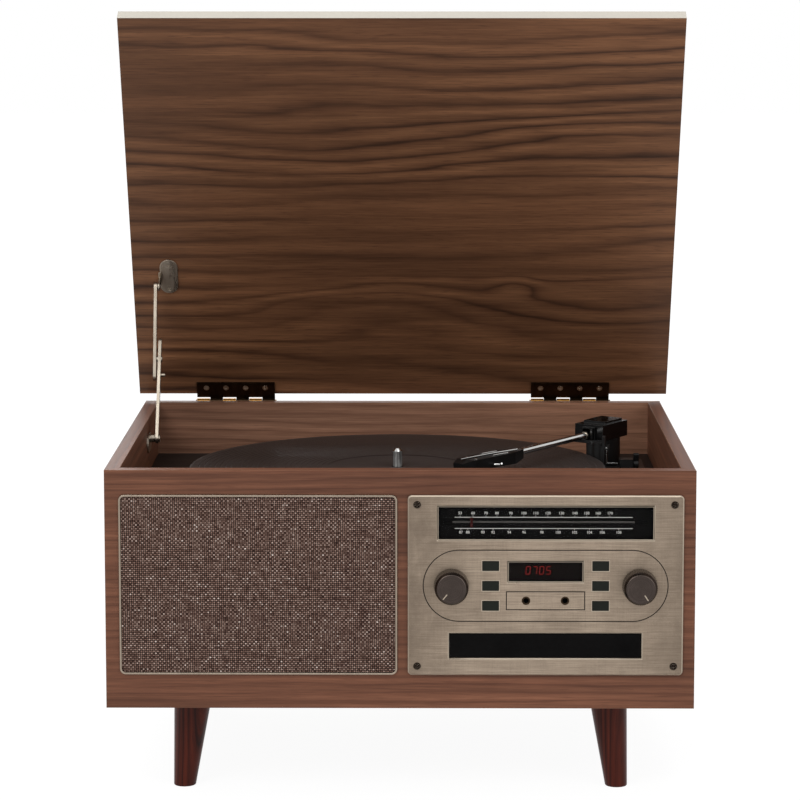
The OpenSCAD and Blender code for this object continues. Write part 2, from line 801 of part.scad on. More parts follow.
// An oblong plate on the lid, with an ear that carries the upper arm's rivet
module stay_lid_bracket() {
    color(nickel) on_lid() difference() {
        union() {
            translate([stay_plate_x, -stay_lid_reach - stay_plate_shift, lid_face - stay_bracket_t]) rotate([0, 0, 90])
                linear_extrude(stay_bracket_t) stadium(stay_plate_l, stay_plate_w);
            block([stay_ear_x - stay_bracket_t / 2, -stay_lid_reach - stay_arm_r, lid_face - stay_lid_drop],
                  [stay_ear_x + stay_bracket_t / 2, -stay_lid_reach + stay_arm_r, lid_face]);
            block([stay_ear_x - stay_bracket_t / 2, -stay_lid_reach - stay_plate_shift - stay_arm_r, lid_face - stay_bracket_t],
                  [stay_plate_x, -stay_lid_reach + stay_arm_r, lid_face]);
            rod_x(-stay_lid_reach, lid_face - stay_lid_drop, stay_arm_r,
                  stay_ear_x - stay_bracket_t / 2, stay_ear_x + stay_bracket_t / 2);
            rod_x(-stay_lid_reach, lid_face - stay_lid_drop, stay_rivet_r,
                  stay_upper_x - stay_arm_t / 2 - 0.3, stay_ear_x);
            rod_x(-stay_lid_reach, lid_face - stay_lid_drop, stay_rivet_r + 0.8,
                  stay_upper_x + stay_arm_t / 2 + 0.2, stay_ear_x);
        }
        stay_lid_screw_spots() flush_hole();
    }
}

module cabinet_screws() {
    color(steel) {
        fixed_leaf_screw_spots() flush_screw();
        stay_wall_screws() flush_screw();
        panel_screw_spots() screw(small_screw);
    }
}

// ---------------------------------------------------------------- loudspeaker

grille_w = body_w - grille_side - grille_gap - fascia_w - fascia_side;
grille_x = -body_w / 2 + grille_side + grille_w / 2;
grille_sunk = 1.5;
trim_proud = 1.4;
cloth_proud = 0.5;
basket_r = (grille_w - 2 * driver_side - driver_gap) / 4;
driver_hole_r = basket_r - driver_flange;
driver_pitch = 2 * basket_r + driver_gap;
driver_xs = [grille_x - driver_pitch / 2, grille_x + driver_pitch / 2];
driver_z = (floor_z + deck_low) / 2 + 2;

module grille_trim_frame() {
    color(nickel) difference() {
        panel(grille_x, fascia_z, grille_w, fascia_h, front_y - trim_proud, front_y + grille_sunk, trim_r);
        panel(grille_x, fascia_z, grille_w - 2 * trim_w, fascia_h - 2 * trim_w,
              front_y - trim_proud - 1, front_y + grille_sunk + 1, trim_r - trim_w);
    }
}

module grille_cloth() {
    inset = 2 * (trim_w + fit_gap);
    color(cloth_brown)
        panel(grille_x, fascia_z, grille_w - inset, fascia_h - inset,
              front_y - cloth_proud, front_y + grille_sunk, trim_r - trim_w);
}

// Turns a profile of [radius, distance behind the front board] into a driver's part
module on_drivers() {
    for (x = driver_xs) translate([x, front_y + board_t, driver_z]) rotate([-90, 0, 0]) children();
}

module speaker_drivers() {
    r = basket_r;
    color(steel) on_drivers() rotate_extrude() polygon([
        [r - 6.3, 0], [r, 0], [r, 2], [r - 4.3, 2], [20.5, 24], [30, 24], [30, 38], [0, 38],
        [0, 25.5], [18.5, 25.5], [r - 6.3, 1.5]
    ]);
}

module speaker_cones() {
    r = basket_r - 6.6;
    color(black) on_drivers() rotate_extrude() polygon([
        [r, 0.2], [r, 1.2], [r - 3.5, 2], [10, 15.5], [10, 25.2], [9, 25.2], [9, 13],
        [0, 10.5], [0, 9.8], [9, 12], [r - 4, 0.8]
    ]);
}

// ---------------------------------------------------------------- fascia

module fascia_screw_spots() {
    for (x = [-1, 1], z = [-1, 1])
        translate([fascia_x + x * (fascia_w / 2 - fascia_screw_inset), fascia_face,
                   fascia_z + z * (fascia_h / 2 - fascia_screw_inset)]) rotate([90, 0, 0]) children();
}

// A rectangular opening through the fascia whose front edge is bevelled
module bevelled_opening(dx, dz, w, h) {
    panel(fascia_x + dx, fascia_z + dz, w, h, fascia_face - 1, front_y + 1);
    hull() {
        panel(fascia_x + dx, fascia_z + dz, w + 2 * bevel, h + 2 * bevel, fascia_face - 1, fascia_face);
        panel(fascia_x + dx, fascia_z + dz, w, h, fascia_face, fascia_face + bevel);
    }
}

module fascia_plate() {
    color(antique) difference() {
        union() {
            hull() {
                panel(fascia_x, fascia_z, fascia_w - 2 * bevel, fascia_h - 2 * bevel, fascia_face, front_y, fascia_r - bevel);
                panel(fascia_x, fascia_z, fascia_w, fascia_h, fascia_face + bevel, front_y, fascia_r);
            }
            for (x = [-1, 1], z = [-1, 1])
                rod_y(fascia_x + x * boss_x, fascia_z + z * boss_z, boss_r, front_y - eps, pcb_front_y);
        }
        bevelled_opening(0, dial_dz, dial_w, dial_h);
        bevelled_opening(0, display_dz, display_w, display_h);
        bevelled_opening(0, tray_dz, tray_front_w + 4 * side_gap, tray_front_h + 4 * side_gap);
        for (s = [-1, 1]) {
            rod_y(fascia_x + s * knob_x, fascia_z, spindle_shaft_r + 0.6, fascia_face - 1, front_y + 1);
            rod_y(fascia_x + s * jack_x, fascia_z + jack_dz, jack_nose_r + fit_gap, fascia_face - 1, front_y + 1);
            for (row = button_rows)
                panel(fascia_x + s * button_x, fascia_z + row * button_pitch, button_w + 2 * side_gap,
                      button_h + 2 * side_gap, fascia_face - 1, front_y + 1, 0.6);
        }
        // Engraved lines round the controls and round the jacks
        translate([fascia_x, fascia_face + groove_t, fascia_z]) rotate([90, 0, 0]) linear_extrude(2) difference() {
            stadium(stadium_w, stadium_h);
            stadium(stadium_w - 2 * groove_w, stadium_h - 2 * groove_w);
        }
        difference() {
            panel(fascia_x, fascia_z + jack_dz, jack_frame_w, jack_frame_h, fascia_face - 1, fascia_face + groove_t);
            panel(fascia_x, fascia_z + jack_dz, jack_frame_w - 2 * groove_w, jack_frame_h - 2 * groove_w,
                  fascia_face - 2, fascia_face + groove_t + 1);
        }
        fascia_screw_spots() pilot(fascia_screw);
    }
}

module fascia_screws() {
    color(bronze) fascia_screw_spots() screw(fascia_screw);
}

module fascia_windows() {
    back = fascia_face + window_sunk + window_t;
    color(black) {
        panel(fascia_x, fascia_z + dial_dz, dial_w - 2 * fit_gap, dial_h - 2 * fit_gap, back - window_t, back);
        panel(fascia_x, fascia_z + display_dz, display_w - 2 * fit_gap, display_h - 2 * fit_gap, back - window_t, back);
    }
}

module dial_scale_plate() {
    color(black) difference() {
        panel(fascia_x, fascia_z + dial_dz, dial_pocket_w - 2 * fit_gap, dial_pocket_h - 2 * fit_gap,
              scale_face, scale_face + scale_t);
        panel(fascia_x, fascia_z + dial_dz + pointer_dz, dial_w - 8, pointer_groove_h,
              scale_face - 1, scale_face + pointer_groove_t);
    }
}

module tuning_pointer() {
    x = fascia_x + pointer_rest;
    z = fascia_z + dial_dz + pointer_dz;
    color(signal_red) {
        panel(x, z, pointer_w, pointer_h, scale_face - 1.2, scale_face - 0.4);
        panel(x, z, pointer_w, pointer_groove_h - 2 * side_gap, scale_face - 0.5, scale_face + pointer_groove_t - side_gap);
    }
}

jack_nose_r = 2.8;
jack_body = 10;
jack_len = 14;
jack_notch = jack_body / 2 + side_gap;

module jack_sockets() {
    nose = fascia_face + 0.2;
    color(black) for (s = [-1, 1]) difference() {
        union() {
            rod_y(fascia_x + s * jack_x, fascia_z + jack_dz, jack_nose_r, nose, front_y + 3);
            panel(fascia_x + s * jack_x, fascia_z + jack_dz, jack_body, jack_body, front_y + 2, nose + jack_len + 1.5);
        }
        rod_y(fascia_x + s * jack_x, fascia_z + jack_dz, jack_bore_r, nose - 1, nose + jack_len);
    }
}

// The control board stands on the fascia's bosses, the amplifier board on the cabinet's floor
module control_board() {
    front = pcb_front_y;
    back = front + pcb_t;
    difference() {
        block([fascia_x - pcb_half_w, front, fascia_z + pcb_low], [fascia_x + pcb_half_w, back, fascia_z + pcb_high]);
        for (s = [-1, 1]) rod_y(fascia_x + s * knob_x, fascia_z, bush_r + side_gap, front - 1, back + 1);
        // Notch from the board's lower edge round both jacks
        block([fascia_x - jack_x - jack_notch, front - 1, fascia_z + pcb_low - 1],
              [fascia_x + jack_x + jack_notch, back + 1, fascia_z + jack_dz + jack_notch]);
    }
    for (s = [-1, 1], row = button_rows)
        panel(fascia_x + s * button_x, fascia_z + row * button_pitch, 6, 6, front - tact_h, front + eps);
    panel(fascia_x, fascia_z + display_dz, 38, 11, front - 5, front + eps);
}

// The board fills the room between the disc player and the back board
amp_x = 50;
amp_front = case_start + case_len + 27.7;
amp_rear = inner_y - 15;
amp_y = (amp_front + amp_rear) / 2;
amp_w = 110;
amp_d = amp_rear - amp_front;
amp_lift = 8;

module amplifier_board() {
    z = floor_z + amp_lift;
    translate([amp_x, amp_y, z]) {
        translate([-amp_w / 2, -amp_d / 2, 0]) cube([amp_w, amp_d, pcb_t]);
        for (x = [-1, 1], y = [-1, 1])
            translate([x * (amp_w / 2 - 6), y * (amp_d / 2 - 6), -amp_lift]) cylinder(r = 3, h = amp_lift + eps);
        for (x = [-38, -16]) translate([x, 20, pcb_t - eps]) cylinder(r = 8, h = 26);
        for (i = [0:4]) translate([4 + i * 9, -30, pcb_t - eps]) cube([2, 30, 28]);
        translate([4, -30, pcb_t - eps]) cube([38, 30, 3]);
    }
}

module circuit_boards() {
    color(board_green) {
        control_board();
        amplifier_board();
    }
}

// Volume potentiometer and tuning capacitor, each with a bush for its knob's spindle
module rotary_controls() {
    bush_front = front_y + 0.1;
    body_front = pcb_front_y + pcb_t + side_gap;
    color(steel) for (s = [-1, 1]) difference() {
        union() {
            rod_y(fascia_x + s * knob_x, fascia_z, bush_r, bush_front, body_front + 1);
            if (s < 0) rod_y(fascia_x + s * knob_x, fascia_z, 8.5, body_front, body_front + control_depth);
            else panel(fascia_x + s * knob_x - capacitor_off, fascia_z, capacitor_w, capacitor_w,
                       body_front, body_front + control_depth + 4);
        }
        rod_y(fascia_x + s * knob_x, fascia_z, spindle_shaft_r + run_gap, bush_front - 1, body_front + control_depth - 1.5);
    }
}

// A round knob with a chamfered face, drawn with its spindle towards +Z at the origin's fascia face
module knob_and_spindle() {
    bore = spindle_shaft_r + 0.02;
    difference() {
        rotate_extrude() polygon([
            [bore, -knob_len + 2], [bore, 0], [knob_r, 0], [knob_r, -knob_len + knob_r - knob_face_r],
            [knob_face_r, -knob_len], [0, -knob_len], [0, -knob_len + 2]
        ]);
        // Pointer mark in the face
        translate([knob_face_r * 0.55, -0.4, -knob_len - 1]) cube([knob_face_r * 0.35, 0.8, 1.4]);
    }
    translate([0, 0, -knob_len + 2.3])
        cylinder(r = spindle_shaft_r, h = knob_len - 2.3 + knob_gap + fascia_t + pcb_back + control_depth - 2);
}

volume_turn = 130;
tuning_turn = 57;

module volume_knob() {
    color(steel) translate([fascia_x - knob_x, fascia_face - knob_gap, fascia_z]) rotate([-90, 0, 0])
        rotate([0, 0, volume_turn]) knob_and_spindle();
}

module tuning_knob() {
    color(steel) translate([fascia_x + knob_x, fascia_face - knob_gap, fascia_z]) rotate([-90, 0, 0])
        rotate([0, 0, tuning_turn]) knob_and_spindle();
}

// A button cap with a flange behind the fascia and a stem to its switch
module push_button(side, row) {
    x = fascia_x + side * button_x;
    z = fascia_z + row * button_pitch;
    stem_end = pcb_front_y - tact_h - button_travel - side_gap;
    color(black) {
        panel(x, z, button_w, button_h, fascia_face - button_proud, front_y + 0.5, 0.5);
        panel(x, z, button_w + 1.6, button_h + 1.6, front_y + side_gap, front_y + side_gap + button_flange, 0.5);
        rod_y(x, z, button_stem_r, front_y, stem_end);
    }
}

module button_left_top() { push_button(-1, 1); }
module button_left_middle() { push_button(-1, 0); }
module button_left_bottom() { push_button(-1, -1); }
module button_right_top() { push_button(1, 1); }
module button_right_middle() { push_button(1, 0); }
module button_right_bottom() { push_button(1, -1); }

// ---------------------------------------------------------------- disc player

module cd_tray() {
    low = tray_low;
    color(black) difference() {
        union() {
            panel(fascia_x, tray_z, tray_front_w, tray_front_h, tray_front_face, tray_start);
            block([fascia_x - tray_w / 2, tray_start - eps, low], [fascia_x + tray_w / 2, tray_start + tray_len, low + tray_t]);
        }
        translate([fascia_x, disc_y, low + tray_t - seat_t]) cylinder(r = disc_seat_r, h = seat_t + 1);
        translate([fascia_x, disc_y, low + tray_t - seat_t - 1]) cylinder(r = disc_seat_r - 20, h = seat_t + 1);
        // Window for the spindle and the lens
        block([fascia_x - 20, disc_y - 18, low - 1], [fascia_x + 20, disc_y + 52, low + tray_t + 1]);
    }
}

module cd_loader_case() {
    low = case_low;
    high = low + case_h;
    end = case_start + case_len;
    rail_in = tray_w / 2 - 4;
    color(steel) {
        difference() {
            block([fascia_x - case_half_w, case_start, low], [fascia_x + case_half_w, end, high]);
            block([fascia_x - case_half_w + case_wall, case_start - 1, low + case_wall],
                  [fascia_x + case_half_w - case_wall, end - case_wall, high - case_wall]);
        }
        // Rails under and beside the tray
        for (s = [0, 1]) mirror([s, 0, 0]) translate([s ? -fascia_x : fascia_x, 0, 0]) {
            block([rail_in, case_start, low + case_wall - eps], [case_half_w - 1, end - 1, tray_low - seat_gap]);
            block([tray_w / 2 + rail_gap, case_start, low + case_wall - eps], [case_half_w - 1, end - 1, tray_low + tray_t + 2]);
            for (y = [case_start + 12, end - 12]) translate([case_half_w - 10, y, floor_z])
                cylinder(r = foot_r, h = low - floor_z + eps);
        }
    }
}

// Base with the disc motor, its small turntable and the lens on two rods
module cd_laser_unit() {
    low = case_low + case_wall;
    color(steel) translate([fascia_x, disc_y, low]) {
        translate([-28, -14, 0]) cube([56, 74, 2]);
        translate([0, 0, 2 - eps]) cylinder(r = 7, h = 3);
        translate([0, 0, 5 - 2 * eps]) cylinder(r = 12, h = 1.2);
        translate([-14, 22, 2 - eps]) cube([28, 14, 3.4]);
        for (x = [-18, 16]) translate([x, 14, 2 - eps]) cube([2, 44, 2]);
    }
}

// ---------------------------------------------------------------- power and rear panel

module mains_transformer() {
    color(steel) translate([-60, inner_y - 55, floor_z]) {
        translate([-30, -12, 0]) cube([60, 24, 2]);
        difference() {
            translate([-22, -12, 2 - eps]) cube([44, 24, 38]);
            for (x = [-14, 5]) translate([x, -13, 10]) cube([9, 26, 22]);
        }
        translate([-13.6, -19, 10.4]) cube([27.2, 38, 21.2]);
    }
}

panel_x = 60;
panel_z = floor_z + 42;
panel_w = 104;
panel_h = 48;
panel_t = 1.6;
panel_lip = 7;
line_r = 4.15;
line_len = 8.2;
line_xs = [62, 84];
inlet_x = 30;

module panel_screw_spots() {
    for (x = [-1, 1], z = [-1, 1])
        translate([panel_x + x * (panel_w / 2 - 3.5), back_y + panel_t, panel_z + z * (panel_h / 2 - 3.5)])
            rotate([-90, 0, 0]) children();
}

module rear_panel() {
    out = back_y + panel_t;
    color(black) difference() {
        union() {
            panel(panel_x, panel_z, panel_w, panel_h, back_y, out);
            panel(panel_x, panel_z, panel_w - 2 * panel_lip - 2 * fit_gap, panel_h - 2 * panel_lip - 2 * fit_gap,
                  back_y - 2, back_y + eps);
            panel(inlet_x, panel_z, 24, 16, inner_y - 6, back_y);
            for (x = line_xs) {
                rod_y(x, panel_z, 6.5, inner_y - 2, back_y);
                rod_y(x, panel_z, line_r, back_y, out + line_len);
            }
        }
        // Two-pole mains inlet with its two pins
        difference() {
            translate([inlet_x, out + 1, panel_z]) rotate([90, 0, 0]) linear_extrude(14) stadium(17, 9);
            for (s = [-1, 1]) rod_y(inlet_x + s * 4, panel_z, 1.2, inner_y - 4, out - 2);
        }
        for (x = line_xs) rod_y(x, panel_z, 1.7, back_y - 4, out + line_len + 1);
        panel_screw_spots() pilot(small_screw);
    }
}

// ---------------------------------------------------------------- turntable

module platter() {
    top = mat_z - mat_t;
    color(steel) translate(platter_at) difference() {
        rotate_extrude() polygon([
            [axle_r + 0.02, top], [platter_r, top], [platter_r, top - skirt_h], [platter_r - skirt_t, top - skirt_h],
            [platter_r - skirt_t, top - plate_t], [belt_ring_r, top - plate_t], [belt_ring_r, ring_low],
            [belt_ring_r - ring_t, ring_low], [belt_ring_r - ring_t, top - plate_t], [hub_r, top - plate_t],
            [hub_r, deck_z + bearing_flange_t + seat_gap], [axle_r + 0.02, deck_z + bearing_flange_t + seat_gap]
        ]);
    }
}

// Rubber mat with a sunk middle for the label and shallow rings
module platter_mat() {
    low = mat_z - mat_t;
    color(black) translate(platter_at) difference() {
        translate([0, 0, low]) cylinder(r = platter_r, h = mat_t, $fn = 128);
        translate([0, 0, low - 1]) cylinder(r = spindle_r + 0.4, h = mat_t + 2);
        translate([0, 0, mat_z - label_sunk]) cylinder(r = label_r, h = 2);
        for (r = [label_r + 14:22:platter_r - 8]) translate([0, 0, mat_z - 0.5]) difference() {
            cylinder(r = r + 0.8, h = 2);
            translate([0, 0, -1]) cylinder(r = r, h = 4);
        }
    }
}

module platter_spindle() {
    low = bearing_low + 2 + seat_gap;
    top = mat_z + spindle_h;
    step = mat_z - label_sunk + seat_gap;
    color(nickel) translate(platter_at) {
        translate([0, 0, low]) cylinder(r = axle_r, h = step - low + eps);
        translate([0, 0, step]) cylinder(r = spindle_r, h = top - 2 - step);
        translate([0, 0, top - 2 - eps]) cylinder(r1 = spindle_r, r2 = spindle_r * 0.5, h = 2);
    }
}

module platter_bearing() {
    color(brass) translate(platter_at) difference() {
        union() {
            translate([0, 0, bearing_low]) cylinder(r = bearing_r, h = deck_z - bearing_low + bearing_flange_t);
            translate([0, 0, deck_z]) cylinder(r = bearing_flange_r, h = bearing_flange_t);
        }
        translate([0, 0, bearing_low + 2]) cylinder(r = axle_r + run_gap, h = deck_z - bearing_low + 5);
    }
}

module turntable_motor() {
    color(steel) translate(motor_at) difference() {
        union() {
            translate([0, 0, deck_low - 1.5]) cylinder(r = motor_flange_r, h = 1.5);
            translate([0, 0, deck_low - motor_h]) cylinder(r = motor_r, h = motor_h - 1);
        }
        translate([0, 0, deck_low - motor_h + 4]) cylinder(r = 1 + run_gap, h = motor_h);
    }
}

module motor_pulley() {
    color(brass) translate(motor_at) {
        translate([0, 0, deck_low - motor_h + 5]) cylinder(r = 1, h = belt_low - deck_low + motor_h);
        translate([0, 0, belt_low - 1.2]) cylinder(r = pulley_r + 1, h = 0.8);
        translate([0, 0, belt_low - 0.5]) cylinder(r = pulley_r, h = belt_h + 0.9);
    }
}

// Outline of a belt round both wheels, at a distance from their surfaces
function belt_points(off) = let (
    big = belt_ring_r + off,
    small = pulley_r + off,
    a = acos((big - small) / motor_dist)
) concat(
    [for (i = [0:80]) let (t = a + (360 - 2 * a) * i / 80) [big * cos(t), big * sin(t)]],
    [for (i = [0:32]) let (t = -a + 2 * a * i / 32) [motor_dist + small * cos(t), small * sin(t)]]
);

module drive_belt() {
    color(black) translate(platter_at) translate([0, 0, belt_low]) rotate([0, 0, motor_dir])
        linear_extrude(belt_h) difference() {
            polygon(belt_points(run_gap + belt_t));
            polygon(belt_points(run_gap));
        }
}

// ---------------------------------------------------------------- tonearm

base_low_y = arm_y - 140;
base_high_y = arm_y + 26;
base_right = inner_x - 8;

module speed_slot(low, high) {
    block([speed_x - speed_stem / 2 - side_gap, speed_y - speed_stem / 2 - side_gap, low],
          [speed_x + speed_stem / 2 + side_gap, speed_y + speed_travel + speed_stem / 2 + side_gap, high]);
}

// Moves children to the parked arm's line, with its pivot at the origin and the outer side along +Y
module on_rest() {
    translate(arm_at) rotate([0, 0, rest_angle]) translate([rest_dist, 0, 0]) children();
}

// One moulding: base plate, pedestal, arm rest, cue lift housing and cue lever block
module tonearm_base() {
    wall = tube_r + rest_gap;
    color(black) difference() {
        union() {
            difference() {
                translate([0, 0, deck_z]) linear_extrude(base_t)
                    translate([(arm_x - 16 + base_right) / 2, (base_low_y + base_high_y) / 2])
                        round_rect(base_right - arm_x + 16, base_high_y - base_low_y, 6);
                translate(platter_at) translate([0, 0, deck_z - 1]) cylinder(r = platter_r + base_clear, h = base_t + 2);
            }
            translate(arm_at) translate([0, 0, deck_z]) cylinder(r = pedestal_r, h = pedestal_top - deck_z);
            on_rest() {
                translate([0, 0, deck_z]) cylinder(r = rest_r, h = lift_top - deck_z);
                block([-rest_r, wall - 1, deck_z], [rest_r, wall + rest_wall_t, lift_top - 2]);
                block([-rest_r, wall, deck_z], [rest_r, wall + rest_wall_t, tube_z + tube_r - 0.5]);
                // Ears of the clip's pin
                for (s = [-1, 1]) block([s * (rest_r - 0.5) - 0.5, wall + 1, clip_z - 1.6],
                                        [s * (rest_r - 0.5) + 0.5, clip_side + 1.6, clip_z + 1.6]);
            }
            translate(lift_at) translate([0, 0, deck_z])
                cylinder(r = lift_house_r, h = lift_top - lift_plate_t - seat_gap - deck_z);
            block([cue_x, cue_y - 5, deck_z], [cue_x + cue_block_w, cue_y + 5, cue_z + 4]);
        }
        translate(arm_at) translate([0, 0, base_z + 1]) cylinder(r = gimbal_shaft_r + run_gap, h = 60);
        translate(lift_at) translate([0, 0, base_z]) cylinder(r = lift_r + run_gap, h = 60);
        rod_x(cue_y, cue_z, cue_shaft_r + run_gap, cue_x + 1, cue_x + cue_block_w + 1);
        on_rest() rod_x(clip_side, clip_z, clip_pin_r + run_gap, -rest_r - 1, rest_r + 1);
        speed_slot(deck_z - 1, base_z + 1);
    }
}

// Moves children from a tube along +X with its pivot at the origin to the arm's place
module on_arm() {
    translate([arm_x, arm_y, 0]) rotate([0, 0, arm_angle]) children();
}

module tonearm_gimbal() {
    low = gimbal_low;
    high = low + gimbal_h;
    color(black) on_arm() {
        difference() {
            union() {
                block([-gimbal_back, -gimbal_half, low], [gimbal_front, gimbal_half, high]);
                block([gimbal_front - 1, -collar_half, low], [collar_front, collar_half, cavity_top + 1]);
                block([-gimbal_back + 3, -gimbal_half + 3, high - eps], [gimbal_front - 8, gimbal_half - 3, high + 1.8]);
            }
            block([-gimbal_back + 3, -collar_half + 1.6, low + gimbal_floor],
                  [collar_front + 1, collar_half - 1.6, cavity_top]);
            translate([0, 0, tube_z]) rotate([90, 0, 0]) cylinder(r = hub_pin_r + run_gap, h = 2 * gimbal_half - 4, center = true);
        }
        translate([0, 0, base_z + 1.3]) cylinder(r = gimbal_shaft_r, h = low - base_z - 1.3 + eps);
    }
}

module tonearm_tube() {
    color(steel) on_arm() {
        translate([-tube_tail, 0, tube_z]) rotate([0, 90, 0]) cylinder(r = tube_r, h = tube_len + tube_tail);
        translate([0, 0, tube_z]) rotate([90, 0, 0]) cylinder(r = hub_pin_r, h = 2 * gimbal_half - 5, center = true);
    }
}

module on_head() {
    on_arm() translate([tube_len, 0, 0]) rotate([0, 0, -head_offset]) children();
}

// Faceted shell: its plan, cut by its side view
module headshell() {
    l = head_len;
    w = head_w / 2;
    low = head_low;
    color(black) on_head() {
        difference() {
            intersection() {
                translate([0, 0, low]) linear_extrude(head_h)
                    polygon([[-2, -4], [12, -w], [l - 9, -w], [l, -w + 4], [l, w - 4], [l - 9, w], [12, w], [-2, 4]]);
                translate([0, 30, 0]) rotate([90, 0, 0]) linear_extrude(60)
                    polygon([[-2, low + 2], [10, low], [l - 3, low], [l, low + 2], [l, low + 5.5], [l - 8, low + 7.4],
                             [10, low + head_h], [-2, low + head_h]]);
            }
            rotate([0, 0, head_offset]) translate([-6, 0, tube_z]) rotate([0, 90, 0])
                cylinder(r = tube_r + 0.02, h = 6 + fit_gap);
        }
        // Finger lift
        block([l - 22, -w - 7, low + 2.2], [l - 17, -w + 1, low + 3.2]);
    }
}

module cartridge() {
    x = head_len - stylus_back;
    top = head_low;
    low = top - cartridge_h;
    color(black) on_head() {
        block([x - 16, -4.5, low], [x + 5, 4.5, top]);
        translate([x, 0, mat_z + stylus_gap]) cylinder(r1 = 0.2, r2 = 1.4, h = low - mat_z - stylus_gap + eps);
    }
}

// A pin in its housing, with an arc-shaped plate under the tube
module cue_lift() {
    low = base_z + 1;
    color(black) {
        translate(lift_at) translate([0, 0, low]) cylinder(r = lift_r, h = lift_top - low - 1);
        translate(arm_at) translate([0, 0, lift_top - lift_plate_t]) linear_extrude(lift_plate_t) intersection() {
            difference() {
                circle(lift_dist + lift_plate_w / 2);
                circle(lift_dist - lift_plate_w / 2);
            }
            polygon([[0, 0], 50 * [cos(-138), sin(-138)], 60 * [cos(-116), sin(-116)], 50 * [cos(-94), sin(-94)]]);
        }
    }
}

module cue_lever() {
    hub = cue_x + cue_block_w + seat_gap;
    color(black) {
        rod_x(cue_y, cue_z, cue_shaft_r, cue_x + 1.5, hub + 2);
        rod_x(cue_y, cue_z, 3.4, hub, hub + 4);
        translate([hub, cue_y, cue_z]) rotate([cue_lean, 0, 0]) translate([0, -1.3, 0]) cube([4, 2.6, cue_len]);
    }
}

// An L-shaped clip, which hangs down at rest and swings up and over the parked arm
module arm_clip() {
    color(nickel) on_rest() translate([0, clip_side, clip_z]) {
        rod_x(0, 0, clip_pin_r, -rest_r, rest_r);
        rod_x(0, 0, clip_pin_r + 0.5, -clip_w / 2, clip_w / 2);
        block([-clip_w / 2, -clip_t / 2, -clip_leg], [clip_w / 2, clip_t / 2, 0]);
        block([-clip_w / 2, -clip_t / 2, -clip_leg - clip_t / 2], [clip_w / 2, clip_reach, -clip_leg + clip_t / 2]);
    }
}

module speed_lever() {
    color(nickel) {
        block([speed_x - speed_stem / 2, speed_y - speed_stem / 2, deck_low + 1],
              [speed_x + speed_stem / 2, speed_y + speed_stem / 2, base_z + seat_gap + 1]);
        block([speed_x - 4, speed_y - 3, base_z + seat_gap], [speed_x + 4, speed_y + 3, base_z + seat_gap + 4]);
    }
}

// ---------------------------------------------------------------- all nodes

left_side_board();
right_side_board();
front_board();
back_board();
bottom_board();
deck_board();
corner_cleats();
legs();
leg_bolts();
cabinet_screws();
hinge_fixed_leaves();
hinge_pins();
stay_wall_bracket();
grille_trim_frame();
grille_cloth();
speaker_drivers();
speaker_cones();
fascia_plate();
fascia_screws();
fascia_windows();
dial_scale_plate();
jack_sockets();
circuit_boards();
rotary_controls();
cd_loader_case();
cd_laser_unit();
mains_transformer();
rear_panel();
turntable_motor();
drive_belt();
platter_bearing();
tonearm_base();
lid_board();
hinge_lid_leaves();
lid_screws();
stay_lid_bracket();
stay_upper_arm();
stay_lower_arm();
platter();
platter_mat();
platter_spindle();
motor_pulley();
tonearm_gimbal();
tonearm_tube();
headshell();
cartridge();
cue_lever();
cue_lift();
arm_clip();
speed_lever();
volume_knob();
tuning_knob();
tuning_pointer();
button_left_top();
button_left_middle();
button_left_bottom();
button_right_top();
button_right_middle();
button_right_bottom();
cd_tray();
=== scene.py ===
"""The look of a stereo music centre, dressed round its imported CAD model.

Lengths are in metres in the shared frame: +Z is up, the front faces -Y, and the origin is on the floor
under the middle of the cabinet. Millimetres appear only where a value is multiplied by MM.
"""

import json
import logging
import math
from dataclasses import dataclass, field
from enum import Enum
from typing import Any, Sequence

import bmesh
import bpy
import numpy as np
from mathutils import Matrix, Vector

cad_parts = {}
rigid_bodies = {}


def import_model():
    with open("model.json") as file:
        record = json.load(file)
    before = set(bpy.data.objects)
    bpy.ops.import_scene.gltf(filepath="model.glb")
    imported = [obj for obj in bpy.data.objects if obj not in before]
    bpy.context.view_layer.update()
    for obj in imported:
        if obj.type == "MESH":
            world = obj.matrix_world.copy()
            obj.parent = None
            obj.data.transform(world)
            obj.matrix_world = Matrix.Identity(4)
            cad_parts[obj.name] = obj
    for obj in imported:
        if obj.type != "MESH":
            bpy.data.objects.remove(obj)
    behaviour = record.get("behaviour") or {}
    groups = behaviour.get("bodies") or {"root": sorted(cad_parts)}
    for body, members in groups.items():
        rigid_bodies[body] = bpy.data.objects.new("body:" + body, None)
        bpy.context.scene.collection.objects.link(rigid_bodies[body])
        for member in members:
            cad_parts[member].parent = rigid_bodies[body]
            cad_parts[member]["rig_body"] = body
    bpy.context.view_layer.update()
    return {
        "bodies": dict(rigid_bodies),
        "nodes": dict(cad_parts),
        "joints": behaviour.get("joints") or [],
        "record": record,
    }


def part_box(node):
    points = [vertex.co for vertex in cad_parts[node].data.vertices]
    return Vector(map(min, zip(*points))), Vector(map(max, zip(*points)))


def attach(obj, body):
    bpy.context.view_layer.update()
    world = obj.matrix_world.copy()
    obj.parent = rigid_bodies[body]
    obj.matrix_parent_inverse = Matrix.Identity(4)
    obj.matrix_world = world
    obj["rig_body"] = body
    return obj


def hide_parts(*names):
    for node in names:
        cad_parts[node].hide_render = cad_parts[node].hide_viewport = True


LOG = logging.getLogger("music_centre")
MM = 0.001
Array = np.ndarray
Colour = tuple[float, float, float]
Socket = Any


